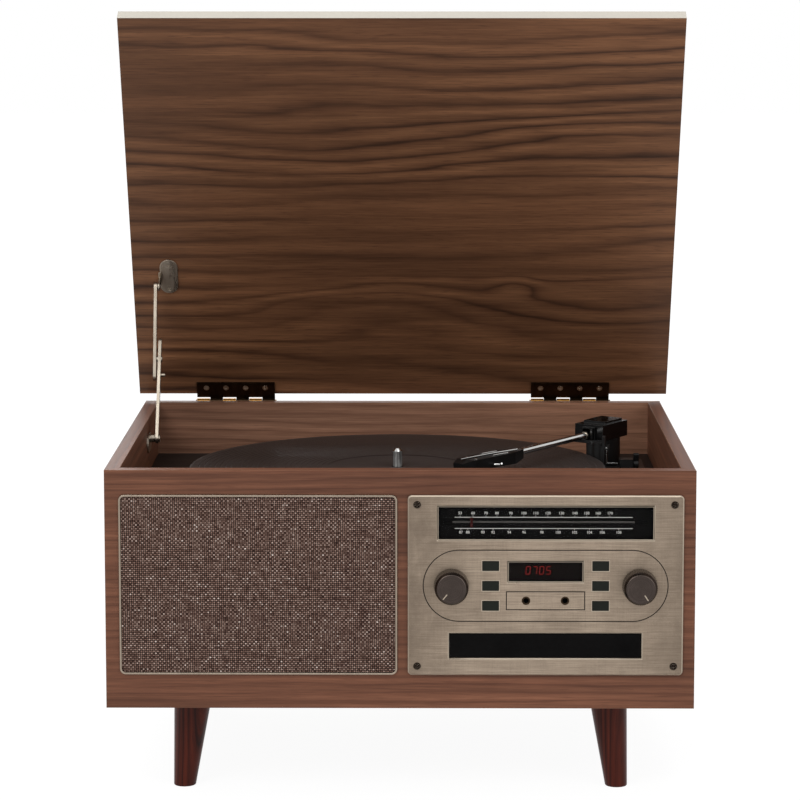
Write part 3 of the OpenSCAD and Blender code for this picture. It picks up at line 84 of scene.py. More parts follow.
def srgb(red: float, green: float, blue: float) -> Colour:
    """Turns a display colour of 0 to 255 into linear values.

    Args:
        red: red, 0 to 255.
        green: green, 0 to 255.
        blue: blue, 0 to 255.

    Returns:
        The three linear values, 0 to 1.
    """
    value = np.array([red, green, blue]) / 255.0
    linear = np.where(value <= 0.04045, value / 12.92, ((value + 0.055) / 1.055) ** 2.4)
    return (float(linear[0]), float(linear[1]), float(linear[2]))


class Grain(Enum):
    """Which way a board's grain runs, as the turn that brings it along the pattern's X."""

    ALONG_X = (0.0, 0.0, 0.0)
    ALONG_Y = (0.0, 0.0, math.pi / 2)
    ALONG_Z = (0.0, math.pi / 2, 0.0)
    OPEN_LID = (math.radians(62.5), 0.0, 0.0)


# ------------------------------------------------------------------ materials


class Graph:
    """A material's node tree, with short calls that add nodes and join them."""

    def __init__(self, name: str, viewport: Colour) -> None:
        """Starts a material with a Principled shader joined to its output.

        Args:
            name: the material's name.
            viewport: its plain colour in a viewport.
        """
        self.material = bpy.data.materials.new(name)
        self.material.use_nodes = True
        self.material.diffuse_color = (*viewport, 1.0)
        self.tree = self.material.node_tree
        self.tree.nodes.clear()
        self.output = self.tree.nodes.new("ShaderNodeOutputMaterial")
        self.shader = self.tree.nodes.new("ShaderNodeBsdfPrincipled")
        self.tree.links.new(self.shader.outputs[0], self.output.inputs["Surface"])
        self.coordinates = self.tree.nodes.new("ShaderNodeTexCoord").outputs["Object"]

    def put(self, node: bpy.types.Node, key: str | int, value: Any) -> None:
        """Joins a socket to a node's input, or writes a plain value there."""
        target = node.inputs[key]
        if isinstance(value, bpy.types.NodeSocket):
            self.tree.links.new(value, target)
        elif isinstance(value, tuple) and len(value) == 3 and target.type == "RGBA":
            target.default_value = (*value, 1.0)
        else:
            target.default_value = value

    def mapping(self, vector: Socket, turn: Sequence[float] = (0, 0, 0),
                scale: Sequence[float] = (1, 1, 1)) -> Socket:
        """Scales and turns a vector.

        Args:
            vector: the vector's socket.
            turn: the turn about each axis, in radians.
            scale: the scale along each axis, before the turn.

        Returns:
            The new vector's socket.
        """
        node = self.tree.nodes.new("ShaderNodeMapping")
        self.put(node, "Vector", vector)
        node.inputs["Rotation"].default_value = tuple(turn)
        node.inputs["Scale"].default_value = tuple(scale)
        return node.outputs[0]

    def noise(self, vector: Socket, scale: float = 1.0, detail: float = 2.0, rough: float = 0.5,
              distortion: float = 0.0) -> Socket:
        """Adds a noise texture and returns its value's socket."""
        node = self.tree.nodes.new("ShaderNodeTexNoise")
        self.put(node, "Vector", vector)
        self.put(node, "Scale", scale)
        self.put(node, "Detail", detail)
        self.put(node, "Roughness", rough)
        self.put(node, "Distortion", distortion)
        return node.outputs["Fac"]

    def ramp(self, value: Socket, stops: Sequence[tuple[float, Colour]]) -> Socket:
        """Maps a value to colours.

        Args:
            value: the value's socket.
            stops: each place and its linear colour.

        Returns:
            The colour's socket.
        """
        node = self.tree.nodes.new("ShaderNodeValToRGB")
        band = node.color_ramp
        while len(band.elements) < len(stops):
            band.elements.new(0.5)
        for element, (place, colour) in zip(band.elements, stops):
            element.position = place
            element.color = (*colour, 1.0)
        self.put(node, 0, value)
        return node.outputs[0]

    def grey(self, value: Socket, low: float, high: float, start: float = 0.0, end: float = 1.0) -> Socket:
        """Maps a value from start..end to low..high, held at both ends."""
        node = self.tree.nodes.new("ShaderNodeMapRange")
        self.put(node, "Value", value)
        for key, number in (("From Min", start), ("From Max", end), ("To Min", low), ("To Max", high)):
            self.put(node, key, number)
        return node.outputs[0]

    def math(self, operation: str, first: Any, second: Any = None, third: Any = None) -> Socket:
        """Adds a math node and returns its socket."""
        node = self.tree.nodes.new("ShaderNodeMath")
        node.operation = operation
        for place, value in enumerate((first, second, third)):
            if value is not None:
                self.put(node, place, value)
        return node.outputs[0]

    def times(self, value: Any, number: Any) -> Socket:
        """Multiplies a value by another."""
        return self.math("MULTIPLY", value, number)

    def hypotenuse(self, first: Any, second: Any) -> Socket:
        """Returns the root of the sum of two squares."""
        return self.math("SQRT", self.math("ADD", self.times(first, first), self.times(second, second)))

    def streaks(self, x: Socket, y: Socket, scale: tuple[float, float], seed: float, detail: float = 2.0,
                rough: float = 0.5) -> Socket:
        """Adds noise that is stretched differently along two directions.

        Args:
            x: the first distance.
            y: the second distance.
            scale: how closely the noise varies along each.
            seed: a place in the noise that sets it apart from the others.
            detail: how many finer layers it has.
            rough: how strong the finer layers are.

        Returns:
            The noise value's socket.
        """
        place = self.join(self.times(x, scale[0]), self.times(y, scale[1]), seed)
        return self.noise(place, 1.0, detail, rough)

    def mix(self, amount: Any, first: Any, second: Any, blend: str = "MIX") -> Socket:
        """Mixes two colours and returns the result's socket."""
        node = self.tree.nodes.new("ShaderNodeMix")
        node.data_type = "RGBA"
        node.blend_type = blend
        self.put(node, 0, amount)
        self.put(node, 6, first)
        self.put(node, 7, second)
        return node.outputs[2]

    def split(self, vector: Socket) -> tuple[Socket, Socket, Socket]:
        """Returns a vector's X, Y and Z sockets."""
        node = self.tree.nodes.new("ShaderNodeSeparateXYZ")
        self.put(node, 0, vector)
        return node.outputs[0], node.outputs[1], node.outputs[2]

    def join(self, x: Any, y: Any, z: Any) -> Socket:
        """Makes a vector of three values."""
        node = self.tree.nodes.new("ShaderNodeCombineXYZ")
        for place, value in enumerate((x, y, z)):
            self.put(node, place, value)
        return node.outputs[0]

    def bump(self, height: Socket, distance: float, strength: float = 1.0) -> None:
        """Roughens the shader's normal by a height map.

        Args:
            height: the height's socket, 0 to 1.
            distance: the height in metres that 1 stands for.
            strength: how much of it counts.
        """
        node = self.tree.nodes.new("ShaderNodeBump")
        node.inputs["Strength"].default_value = strength
        node.inputs["Distance"].default_value = distance
        self.put(node, "Height", height)
        self.tree.links.new(node.outputs[0], self.shader.inputs["Normal"])

    def finish(self, **values: Any) -> bpy.types.Material:
        """Sets the shader's sockets by name, with _ for a space, and returns the material."""
        for key, value in values.items():
            self.put(self.shader, key.replace("_", " "), value)
        return self.material


@dataclass(frozen=True)
class Knot:
    """A hill in the growth lines, which makes them run round it: its middle, its reach and its height."""

    x: float
    y: float
    reach_x: float
    reach_y: float
    height: float


@dataclass(frozen=True)
class Wood:
    """Veneer or solid wood: growth lines that wander a little, a fibre, and short dark pores."""

    name: str
    grain: Grain
    light: Colour
    middle: Colour
    dark: Colour
    rings: float = 95.0
    wander: float = 0.8
    figure: float = 1.2
    roughness: float = 0.45
    gloss: float = 0.2
    coat: float = 0.0
    contrast: float = 0.75
    seed: float = 0.0
    knots: tuple[Knot, ...] = ()

    def lines(self, g: Graph, x: Socket, y: Socket, across: Socket) -> Socket:
        """Returns the place among the growth lines: across the grain, bent by noise and by the knots.

        Args:
            g: the material's graph.
            x: the distance along the grain.
            y: the distance across it, which the knots use.
            across: the distance across it, over faces that stand and faces that lie.

        Returns:
            The place's socket; each whole number is a line.
        """
        slow = g.streaks(x, across, (1.9, 8.0), self.seed, 2.0, 0.4)
        quick = g.streaks(x, across, (6.0, 55.0), self.seed, 3.0, 0.55)
        place = g.math("MULTIPLY_ADD", across, self.rings, g.times(slow, self.figure * 4.0))
        place = g.math("MULTIPLY_ADD", quick, self.wander * 2.0, place)
        for knot in self.knots:
            dx = g.math("POWER", g.math("MULTIPLY_ADD", x, 1 / knot.reach_x, -knot.x / knot.reach_x), 2.0)
            dy = g.math("POWER", g.math("MULTIPLY_ADD", y, 1 / knot.reach_y, -knot.y / knot.reach_y), 2.0)
            hill = g.math("EXPONENT", g.times(g.math("ADD", dx, dy), -1.0))
            place = g.math("MULTIPLY_ADD", hill, knot.height, place)
        return place

    def material(self) -> bpy.types.Material:
        """Builds the material: broad bands, growth lines, then fibre, streaks and pores."""
        g = Graph(self.name, self.middle)
        x, y, z = g.split(g.mapping(g.coordinates, turn=self.grain.value))
        across = g.math("MULTIPLY_ADD", y, 0.93, z)
        place = self.lines(g, x, y, across)
        ring = g.math("FRACT", place)
        base = g.ramp(ring, [(0.0, self.middle), (0.3, self.light), (0.68, self.middle), (0.88, self.dark),
                             (1.0, self.middle)])
        number = g.streaks(place, x, (0.37, 3.0), self.seed)
        plain = g.mix(g.grey(number, 1.0 - self.contrast, 0.95, 0.42, 0.66), base, self.middle)
        broad = g.streaks(x, across, (2.6, 17.0), self.seed)
        streak = g.streaks(x, across, (3.2, 130.0), 0.7, 3.0, 0.6)
        fibre = g.streaks(x, across, (26.0, 900.0), 0.0, 3.0, 0.6)
        fine = plain
        for amount, layer, start, end, shade in ((0.8, broad, 0.3, 0.7, srgb(186, 184, 186)),
                                                 (0.6, streak, 0.32, 0.68, srgb(168, 164, 162)),
                                                 (0.6, fibre, 0.3, 0.7, srgb(172, 166, 162))):
            tone = g.ramp(layer, [(start, shade), (end, srgb(255, 255, 255))])
            fine = g.mix(amount, fine, tone, "MULTIPLY")
        pore = g.streaks(x, across, (75.0, 1500.0), 0.2, 1.0, 0.5)
        pores = g.grey(pore, 0.0, 0.45, 0.6, 0.72)
        colour = g.mix(pores, fine, self.dark)
        g.bump(g.math("MULTIPLY_ADD", pores, -1.0, g.times(fibre, 0.35)), 0.00008, 0.6)
        rough = g.grey(fibre, self.roughness - 0.06, self.roughness + 0.08)
        return g.finish(Base_Color=colour, Roughness=rough, Coat_Weight=self.coat, Coat_Roughness=0.15,
                        Specular_IOR_Level=self.gloss)


@dataclass(frozen=True)
class Metal:
    """Metal with a brushed, cast or plated surface."""

    name: str
    colour: Colour
    roughness: float = 0.3
    brushed: tuple[float, float, float] = (40.0, 40.0, 40.0)
    variation: float = 0.12
    depth: float = 0.00002

    def material(self) -> bpy.types.Material:
        """Builds the material: fine lines along the least scale, with slight patches of tone."""
        g = Graph(self.name, self.colour)
        line = g.noise(g.mapping(g.coordinates, scale=self.brushed), 1.0, 3.0, 0.65)
        patch = g.noise(g.coordinates, 55.0, 3.0, 0.6)
        dim = tuple(c * (1 - self.variation * 2.2) for c in self.colour)
        lit = tuple(min(1.0, c * (1 + self.variation)) for c in self.colour)
        tone = g.math("MULTIPLY_ADD", line, 0.6, g.times(patch, 0.4))
        colour = g.ramp(tone, [(0.3, dim), (0.7, lit)])
        g.bump(line, self.depth, 0.5)
        return g.finish(Base_Color=colour, Metallic=1.0,
                        Roughness=g.grey(tone, self.roughness * 0.8, self.roughness * 1.25, 0.3, 0.7))


@dataclass(frozen=True)
class AntiqueMetal:
    """The fascia's champagne metal: long scratches across, a few upright, darker towards both ends and in
    random patches.
    """

    name: str
    light: Colour
    middle: Colour
    dark: Colour
    centre: float
    reach: float

    def material(self) -> bpy.types.Material:
        """Builds the material: a fine brush and grit; the colour darkens towards both ends and in random
        patches.
        """
        g = Graph(self.name, self.middle)
        flat = g.noise(g.mapping(g.coordinates, scale=(45.0, 200.0, 3600.0)), 1.0, 3.0, 0.7)
        upright = g.noise(g.mapping(g.coordinates, scale=(3000.0, 200.0, 30.0)), 1.0, 3.0, 0.7)
        patch = g.noise(g.coordinates, 30.0, 5.0, 0.65, 0.5)
        grit = g.noise(g.coordinates, 1900.0, 3.0, 0.7)
        lines = g.math("MULTIPLY_ADD", flat, 0.8, g.times(upright, 0.2))
        base = g.ramp(lines, [(0.2, self.dark), (0.5, self.middle), (0.8, self.light)])
        x, _, _ = g.split(g.coordinates)
        # the colour darkens towards both ends of the plate, and in random patches
        end = g.math("ABSOLUTE", g.math("MULTIPLY_ADD", x, 1 / self.reach, -self.centre / self.reach))
        end_and_patch_darkening = g.math("ADD", g.grey(end, 0.06, 0.5, 0.5, 1.0), g.grey(patch, -0.08, 0.3, 0.4, 0.7))
        darkened = g.mix(g.math("MINIMUM", g.math("MAXIMUM", end_and_patch_darkening, 0.0), 0.85), base, self.dark)
        pitted = g.mix(g.grey(grit, 0.5, 0.0, 0.28, 0.42), darkened, self.dark)
        colour = g.mix(g.grey(grit, 0.0, 0.32, 0.6, 0.74), pitted, self.light)
        g.bump(g.math("MULTIPLY_ADD", grit, 0.4, lines), 0.00003, 0.5)
        return g.finish(Base_Color=colour, Metallic=0.8, Roughness=g.grey(lines, 0.38, 0.55, 0.35, 0.65),
                        Anisotropic=0.3)


@dataclass(frozen=True)
class SpunMetal:
    """A knob's black chrome, spun about an axis along Y: fine rings, with reflections that fan out."""

    name: str
    colour: Colour
    axis_x: float
    axis_z: float
    roughness: float = 0.26

    def material(self) -> bpy.types.Material:
        """Builds the material: an even colour with fine rings, and a tangent that runs round the axis."""
        g = Graph(self.name, self.colour)
        x, y, z = g.split(g.coordinates)
        dx, dz = g.math("SUBTRACT", x, self.axis_x), g.math("SUBTRACT", z, self.axis_z)
        ring = g.streaks(g.hypotenuse(dx, dz), y, (5200.0, 900.0), 0.0, 2.0, 0.6)
        dim = tuple(c * 0.75 for c in self.colour)
        lit = tuple(min(1.0, c * 1.25) for c in self.colour)
        turn = g.tree.nodes.new("ShaderNodeVectorTransform")
        turn.vector_type, turn.convert_from, turn.convert_to = "VECTOR", "OBJECT", "WORLD"
        g.put(turn, 0, g.join(g.times(dz, -1.0), 0.0, dx))
        g.tree.links.new(turn.outputs[0], g.shader.inputs["Tangent"])
        g.bump(ring, 0.00001, 0.3)
        return g.finish(Base_Color=g.ramp(ring, [(0.3, dim), (0.7, lit)]), Metallic=1.0, Anisotropic=0.85,
                        Roughness=g.grey(ring, self.roughness * 0.85, self.roughness * 1.2, 0.3, 0.7))


@dataclass(frozen=True)
class Plastic:
    """Moulded plastic, rubber, paint or card: a fine skin with slight tone changes."""

    name: str
    colour: Colour
    roughness: float = 0.35
    grit: float = 900.0
    depth: float = 0.00003
    spread: float = 0.25
    gloss: float = 0.4

    def material(self) -> bpy.types.Material:
        """Builds the material: an even colour with fine grit and faint clouds."""
        g = Graph(self.name, self.colour)
        fine = g.noise(g.coordinates, self.grit, 2.0, 0.6)
        cloud = g.noise(g.coordinates, 38.0, 3.0, 0.5)
        dim = tuple(c * (1 - self.spread) for c in self.colour)
        lit = tuple(min(1.0, c * (1 + self.spread) + 0.002) for c in self.colour)
        tone = g.math("MULTIPLY_ADD", fine, 0.45, g.times(cloud, 0.55))
        g.bump(fine, self.depth, 0.4)
        return g.finish(Base_Color=g.ramp(tone, [(0.3, dim), (0.7, lit)]), Specular_IOR_Level=self.gloss,
                        Roughness=g.grey(cloud, self.roughness * 0.85, self.roughness * 1.2))


@dataclass(frozen=True)
class Tweed:
    """Woven speaker cloth: each thread has its own tone, and passes over and under the others."""

    name: str
    pitch: float
    stops: tuple[tuple[float, Colour], ...]

    def material(self) -> bpy.types.Material:
        """Builds the material: dark warp and light weft show in turn, with round threads as height, and
        painted shade where the threads are low.
        """
        g = Graph(self.name, self.stops[1][1])
        x, _, z = g.split(g.coordinates)
        bend = g.noise(g.coordinates, 60.0, 2.0, 0.5)
        u = g.math("MULTIPLY_ADD", x, 1 / self.pitch, g.times(bend, 0.5))
        w = g.math("MULTIPLY_ADD", z, 1 / (self.pitch * 0.96), g.times(bend, -0.5))
        column, row = g.math("FLOOR", u), g.math("FLOOR", w)
        over = g.math("PINGPONG", g.math("ADD", column, row), 1.0)
        across, up = (g.math("ABSOLUTE", g.math("SINE", g.times(value, math.pi))) for value in (u, w))
        weft_height = g.times(up, g.math("POWER", across, 0.45))
        warp_height = g.times(across, g.math("POWER", up, 0.45))
        weft = g.streaks(x, row, (210.0, 7.31), 1.5, 2.0, 0.6)
        warp = g.streaks(column, z, (5.17, 210.0), 8.5, 2.0, 0.6)
        deep = g.mix(1.0, g.ramp(warp, self.stops), srgb(182, 170, 164), "MULTIPLY")
        colour = g.mix(over, deep, g.ramp(weft, self.stops))
        under = g.math("SUBTRACT", 1.0, over)
        height = g.math("ADD", g.times(over, weft_height), g.times(under, warp_height))
        hair = g.noise(g.coordinates, 4200.0, 2.0, 0.6)
        # painted shade: the colour darkens where the threads sink, in the gaps between them
        shade = g.ramp(height, [(0.25, srgb(22, 16, 14)), (0.85, srgb(255, 255, 255))])
        weave_with_painted_shade = g.mix(1.0, colour, shade, "MULTIPLY")
        g.bump(g.math("MULTIPLY_ADD", hair, 0.25, height), 0.00035, 0.8)
        return g.finish(Base_Color=weave_with_painted_shade, Roughness=0.9, Sheen_Weight=0.06, Sheen_Roughness=0.5,
                        Specular_IOR_Level=0.1)


@dataclass(frozen=True)
class Smoked:
    """A clear dark window: mostly seen through, with a polished face."""

    name: str
    alpha: float
    colour: Colour = (0.004, 0.004, 0.0045)

    def material(self) -> bpy.types.Material:
        """Builds the material with a faint haze in its roughness."""
        g = Graph(self.name, self.colour)
        haze = g.noise(g.coordinates, 70.0, 2.0, 0.5)
        dust = g.noise(g.coordinates, 1600.0, 1.0, 0.5)
        colour = g.ramp(dust, [(0.62, self.colour), (0.8, (0.02, 0.02, 0.02))])
        return g.finish(Base_Color=colour, Roughness=g.grey(haze, 0.04, 0.1), Alpha=self.alpha,
                        Specular_IOR_Level=0.07)


@dataclass(frozen=True)
class Glow:
    """A lit segment or printed ink that shines a little by itself."""

    name: str
    colour: Colour
    strength: float

    def material(self) -> bpy.types.Material:
        """Builds the material with slight unevenness of its ink."""
        g = Graph(self.name, self.colour)
        ink = g.noise(g.coordinates, 2600.0, 2.0, 0.6)
        colour = g.ramp(ink, [(0.3, tuple(c * 0.7 for c in self.colour)), (0.6, self.colour)])
        return g.finish(Base_Color=colour, Roughness=0.55, Emission_Color=self.colour,
                        Emission_Strength=self.strength)


class Finishes:
    """Every finish of the music centre, made once and shared."""

    LIGHT, MIDDLE, DARK = srgb(166, 113, 86), srgb(134, 87, 65), srgb(84, 50, 35)

    def __init__(self) -> None:
        """Lists the finishes by name; each material is made when it is first asked for."""
        walnut = {"light": self.LIGHT, "middle": self.MIDDLE, "dark": self.DARK}
        inside = {"light": srgb(202, 152, 122), "middle": srgb(172, 125, 99), "dark": srgb(112, 76, 58)}
        lid = {"light": srgb(160, 112, 78), "middle": srgb(126, 85, 58), "dark": srgb(62, 38, 25)}
        # lighter walnut tones for the boards' bevels: a painted highlight along the edges
        edge = {"light": srgb(188, 148, 122), "middle": srgb(168, 124, 98), "dark": srgb(130, 90, 68)}
        knots = (Knot(-0.012, -0.214, 0.085, 0.03, 2.6), Knot(0.085, -0.229, 0.018, 0.01, 0.9),
                 Knot(0.13, -0.36, 0.11, 0.02, 1.3))
        self.recipes: dict[str, Any] = {r.name: r for r in (
            Wood("walnut_front", Grain.ALONG_X, **walnut, rings=180.0, contrast=0.4, seed=1.7),
            Wood("walnut_side", Grain.ALONG_Y, **walnut, rings=170.0, contrast=0.45, seed=4.1),
            Wood("walnut_back", Grain.ALONG_X, **inside, rings=140.0, contrast=0.5, seed=7.3),
            Wood("walnut_lid", Grain.OPEN_LID, **lid, rings=72.0, figure=1.7, wander=0.75, contrast=0.85,
                 seed=2.6, knots=knots),
            Wood("walnut_edge_highlight", Grain.ALONG_X, **edge, rings=160.0, contrast=0.4),
            Wood("dark_board", Grain.ALONG_X, srgb(82, 60, 48), srgb(66, 46, 36), srgb(42, 29, 22),
                 rings=120.0, contrast=0.5),
            Wood("leg_lacquer", Grain.ALONG_Z, srgb(124, 52, 33), srgb(94, 37, 23), srgb(46, 17, 10),
                 rings=230.0, figure=0.9, coat=0.06, roughness=0.34, gloss=0.1, contrast=0.85),
            AntiqueMetal("champagne_metal", srgb(190, 174, 155), srgb(153, 137, 120), srgb(96, 83, 71),
                         centre=98.5 * MM, reach=94.0 * MM),
            Metal("champagne_edge", srgb(178, 165, 148), 0.32, (60, 60, 60), 0.08),
            Metal("trim_metal", srgb(160, 146, 131), 0.28, (500, 500, 30), 0.1),
            Metal("satin_nickel", srgb(176, 165, 150), 0.28, (400, 60, 60), 0.12),
            Metal("polished_chrome", srgb(200, 200, 198), 0.1, (90, 90, 90), 0.05, 0.00001),
            SpunMetal("volume_metal", srgb(66, 58, 54), 0.0348, 0.14935),
            SpunMetal("tuning_metal", srgb(66, 58, 54), 0.1622, 0.14935),
            Metal("warm_brass", srgb(200, 148, 76), 0.26, (300, 80, 80), 0.12),
            # dark bronze for the jack rings; on the lid's hinge leaves this dark colour is a painted
            # reflection on brass
            Metal("dark_bronze_and_painted_reflection", srgb(62, 49, 36), 0.3, (260, 90, 90), 0.22),
            Metal("screw_black", srgb(42, 34, 29), 0.22, (90, 90, 90), 0.3),
            Metal("zinc_steel", srgb(160, 160, 162), 0.4, (120, 120, 120), 0.14),
            Metal("cast_alloy", srgb(176, 176, 178), 0.34, (70, 70, 400), 0.1),
            Plastic("satin_black", srgb(24, 23, 23), 0.36, gloss=0.3),
            Plastic("gloss_black", srgb(11, 10, 10), 0.16, 500.0, 0.00001, 0.2, 0.35),
            Plastic("drawer_black", srgb(6, 5, 5), 0.1, 500.0, 0.00001, 0.2, 0.04),
            # light grey for the gimbal's bevels: a painted highlight on the black housing's edges
            Plastic("grey_edge_highlight", srgb(96, 94, 92), 0.28, 500.0, 0.00001),
            Plastic("head_black", srgb(17, 16, 16), 0.3, gloss=0.1),
            Plastic("button_black", srgb(20, 24, 19), 0.28, 700.0, 0.00002, 0.2, 0.12),
            Plastic("dial_black", srgb(10, 9, 8), 0.6, gloss=0.06),
            Plastic("display_brown", srgb(30, 20, 15), 0.6, gloss=0.06),
            Plastic("groove_dark", srgb(38, 31, 27), 0.7, gloss=0.1),
            Plastic("deck_paint", srgb(25, 21, 20), 0.5, 1200.0, 0.00006, gloss=0.25),
            Plastic("mat_rubber", srgb(44, 38, 36), 0.42, 1500.0, 0.00005, gloss=0.35),
            Plastic("belt_rubber", srgb(24, 23, 23), 0.55),
            Plastic("paper_cone", srgb(38, 35, 33), 0.8, 700.0, 0.0001),
            Plastic("board_green", srgb(38, 84, 52), 0.4, 500.0, 0.00002),
            Plastic("pointer_red", srgb(72, 21, 15), 0.4, gloss=0.15),
            Plastic("ivory_edge", srgb(196, 190, 179), 0.5, 500.0, 0.00003, 0.04, 0.2),
            Tweed("tweed", 1.42 * MM, ((0.26, srgb(82, 58, 50)), (0.44, srgb(136, 107, 96)),
                                       (0.6, srgb(178, 151, 139)), (0.78, srgb(244, 226, 216)))),
            Smoked("dial_window", 0.12),
            Smoked("display_window", 0.3),
            Glow("printed_white", srgb(240, 238, 232), 0.12),
            Glow("printed_grey", srgb(96, 93, 88), 0.0),
            Glow("lit_segment", srgb(168, 22, 14), 0.5),
        )}
        self.made: dict[str, bpy.types.Material] = {}

    def get(self, name: str) -> bpy.types.Material:
        """Returns a finish's material, and makes it the first time."""
        if name not in self.made:
            self.made[name] = self.recipes[name].material()
        return self.made[name]


# ------------------------------------------------------------------ shapes


def moved(points: Array, matrix: Matrix) -> Array:
    """Moves an N by 3 array of points by a matrix."""
    m = np.array(matrix)
    return points @ m[:3, :3].T + m[:3, 3]


class Shape:
    """Points and faces gathered into one mesh, each face with a finish's number."""

    def __init__(self) -> None:
        """Starts an empty shape."""
        self.points: list[Array] = []
        self.loops: list[Array] = []
        self.sizes: list[Array] = []
        self.marks: list[Array] = []
        self.count = 0

    def add(self, points: Array, faces: Sequence[Array], mark: int = 0) -> "Shape":
        """Adds points and faces.

        Args:
            points: an N by 3 array.
            faces: arrays of corner numbers, one face to a row.
            mark: the number of their finish.

        Returns:
            The shape itself.
        """
        for block in faces:
            rows = np.atleast_2d(np.asarray(block, dtype=np.int64))
            self.loops.append((rows + self.count).ravel())
            self.sizes.append(np.full(len(rows), rows.shape[1]))
            self.marks.append(np.full(len(rows), mark))
        self.points.append(np.asarray(points, dtype=float))
        self.count += len(points)
        return self

    def turned(self, matrix: Matrix) -> "Shape":
        """Moves every point gathered so far by a matrix."""
        self.points = [moved(p, matrix) for p in self.points]
        return self

    def build(self, name: str, finishes: Sequence[bpy.types.Material],
              sharp: float = 35.0) -> bpy.types.Object:
        """Makes the object.

        Args:
            name: the piece's name.
            finishes: its materials in the order of their numbers.
            sharp: the angle in degrees above which an edge stays sharp.

        Returns:
            The object, linked to the scene.
        """
        mesh = bpy.data.meshes.new(name)
        points, loops, sizes = (np.concatenate(part) for part in (self.points, self.loops, self.sizes))
        mesh.vertices.add(len(points))
        mesh.vertices.foreach_set("co", points.ravel())
        mesh.loops.add(len(loops))
        mesh.loops.foreach_set("vertex_index", loops)
        mesh.polygons.add(len(sizes))
        mesh.polygons.foreach_set("loop_start", np.concatenate(([0], np.cumsum(sizes)[:-1])))
        mesh.polygons.foreach_set("material_index", np.concatenate(self.marks))
        mesh.update(calc_edges=True)
        mesh.validate()
        mesh.shade_smooth()
        mesh.set_sharp_from_angle(angle=math.radians(sharp))
        for finish in finishes:
            mesh.materials.append(finish)
        obj = bpy.data.objects.new(name, mesh)
        bpy.context.scene.collection.objects.link(obj)
        return obj


def band_faces(rows: int, columns: int, closed: bool) -> Array:
    """Numbers the four corners of each face between rows of points, as whole arrays.

    Args:
        rows: how many rows of points.
        columns: how many points in each row.
        closed: whether each row comes back to its start.

    Returns:
        One face to a row, each with four corners.
    """
    i, j = np.meshgrid(np.arange(rows - 1), np.arange(columns if closed else columns - 1), indexing="ij")
    k = (j + 1) % columns
    low, high = i * columns, (i + 1) * columns
    return np.stack([low + j, low + k, high + k, high + j], -1).reshape(-1, 4)


def lathe(profile: Sequence[tuple[float, float]], sides: int = 64, wave: float = 0.0, teeth: int = 0,
          rows: tuple[int, int] = (0, 0)) -> tuple[Array, list[Array]]:
    """Turns a profile of (radius, height) about Z: x = r cos a, y = r sin a, with knurled rows if asked.

    Args:
        profile: from the low middle, outwards and up, to the top middle; both ends lie on the axis.
        sides: how many points round the axis.
        wave: the depth of the knurl.
        teeth: how many teeth the knurl has.
        rows: the first and last row of the profile that are knurled.

    Returns:
        The points and the faces.
    """
    p = np.array(profile, dtype=float)
    a = np.linspace(0, 2 * math.pi, sides, endpoint=False)
    ring = p[1:-1]
    radius = np.repeat(ring[:, :1], sides, axis=1)
    if teeth:
        radius[rows[0]:rows[1] + 1] += wave * np.cos(teeth * a)[None, :]
    heights = np.repeat(ring[:, 1:], sides, axis=1)
    points = np.stack([radius * np.cos(a), radius * np.sin(a), heights], -1).reshape(-1, 3)
    low, high = len(points), len(points) + 1
    points = np.vstack([points, [0, 0, p[0, 1]], [0, 0, p[-1, 1]]])
    j = np.arange(sides)
    k = (j + 1) % sides
    last = (len(ring) - 1) * sides
    bottom = np.stack([np.full(sides, low), k, j], -1)
    top = np.stack([np.full(sides, high), last + j, last + k], -1)
    return points, [band_faces(len(ring), sides, True), bottom, top]


def ring_lathe(profile: Sequence[tuple[float, float]], sides: int = 64) -> tuple[Array, list[Array]]:
    """Turns a closed profile that stays off the axis about Z, as for a collar or a groove's lip."""
    p = np.array(profile, dtype=float)
    p = np.vstack([p, p[:1]])
    a = np.linspace(0, 2 * math.pi, sides, endpoint=False)
    points = np.stack([p[:, :1] * np.cos(a), p[:, :1] * np.sin(a), np.repeat(p[:, 1:], sides, axis=1)], -1)
    rows = len(p) - 1
    faces = band_faces(len(p), sides, True)
    return points[:rows].reshape(-1, 3), [faces % (rows * sides)]


def rounded(width: float, height: float, radius: float, steps: int = 6) -> Array:
    """Returns a rectangle's outline with round corners, counter-clockwise, about its middle."""
    radius = max(min(radius, width / 2 - 1e-6, height / 2 - 1e-6), 1e-6)
    turn = np.linspace(0, math.pi / 2, steps + 1)
    corner = np.stack([np.cos(turn), np.sin(turn)], -1) * radius
    parts = []
    for quarter, (sx, sy) in enumerate(((1, 1), (-1, 1), (-1, -1), (1, -1))):
        c, s = math.cos(quarter * math.pi / 2), math.sin(quarter * math.pi / 2)
        middle = [sx * (width / 2 - radius), sy * (height / 2 - radius)]
        parts.append(corner @ np.array([[c, s], [-s, c]]) + middle)
    return np.vstack(parts)


def slab(width: float, height: float, radius: float, levels: Sequence[tuple[float, float]],
         steps: int = 6) -> tuple[Array, list[Array]]:
    """Stacks a rounded rectangle at levels of (inset, z), and closes both ends with a fan.

    Args:
        width: the full width along X.
        height: the full height along Y.
        radius: the corners' radius.
        levels: how far each loop is inset, and its z, from low to high.
        steps: points in each corner.

    Returns:
        The points and the faces.
    """
    outlines = [rounded(width - 2 * i, height - 2 * i, radius - i, steps) for i, _ in levels]
    n = len(outlines[0])
    loops = [np.column_stack([outline, np.full(n, z)]) for outline, (_, z) in zip(outlines, levels)]
    points = np.vstack(loops + [[[0, 0, levels[0][1]], [0, 0, levels[-1][1]]]])
    j = np.arange(n)
    k = (j + 1) % n
    last = (len(loops) - 1) * n
    low, high = len(points) - 2, len(points) - 1
    return points, [band_faces(len(loops), n, True), np.stack([np.full(n, low), k, j], -1),
                    np.stack([np.full(n, high), last + j, last + k], -1)]


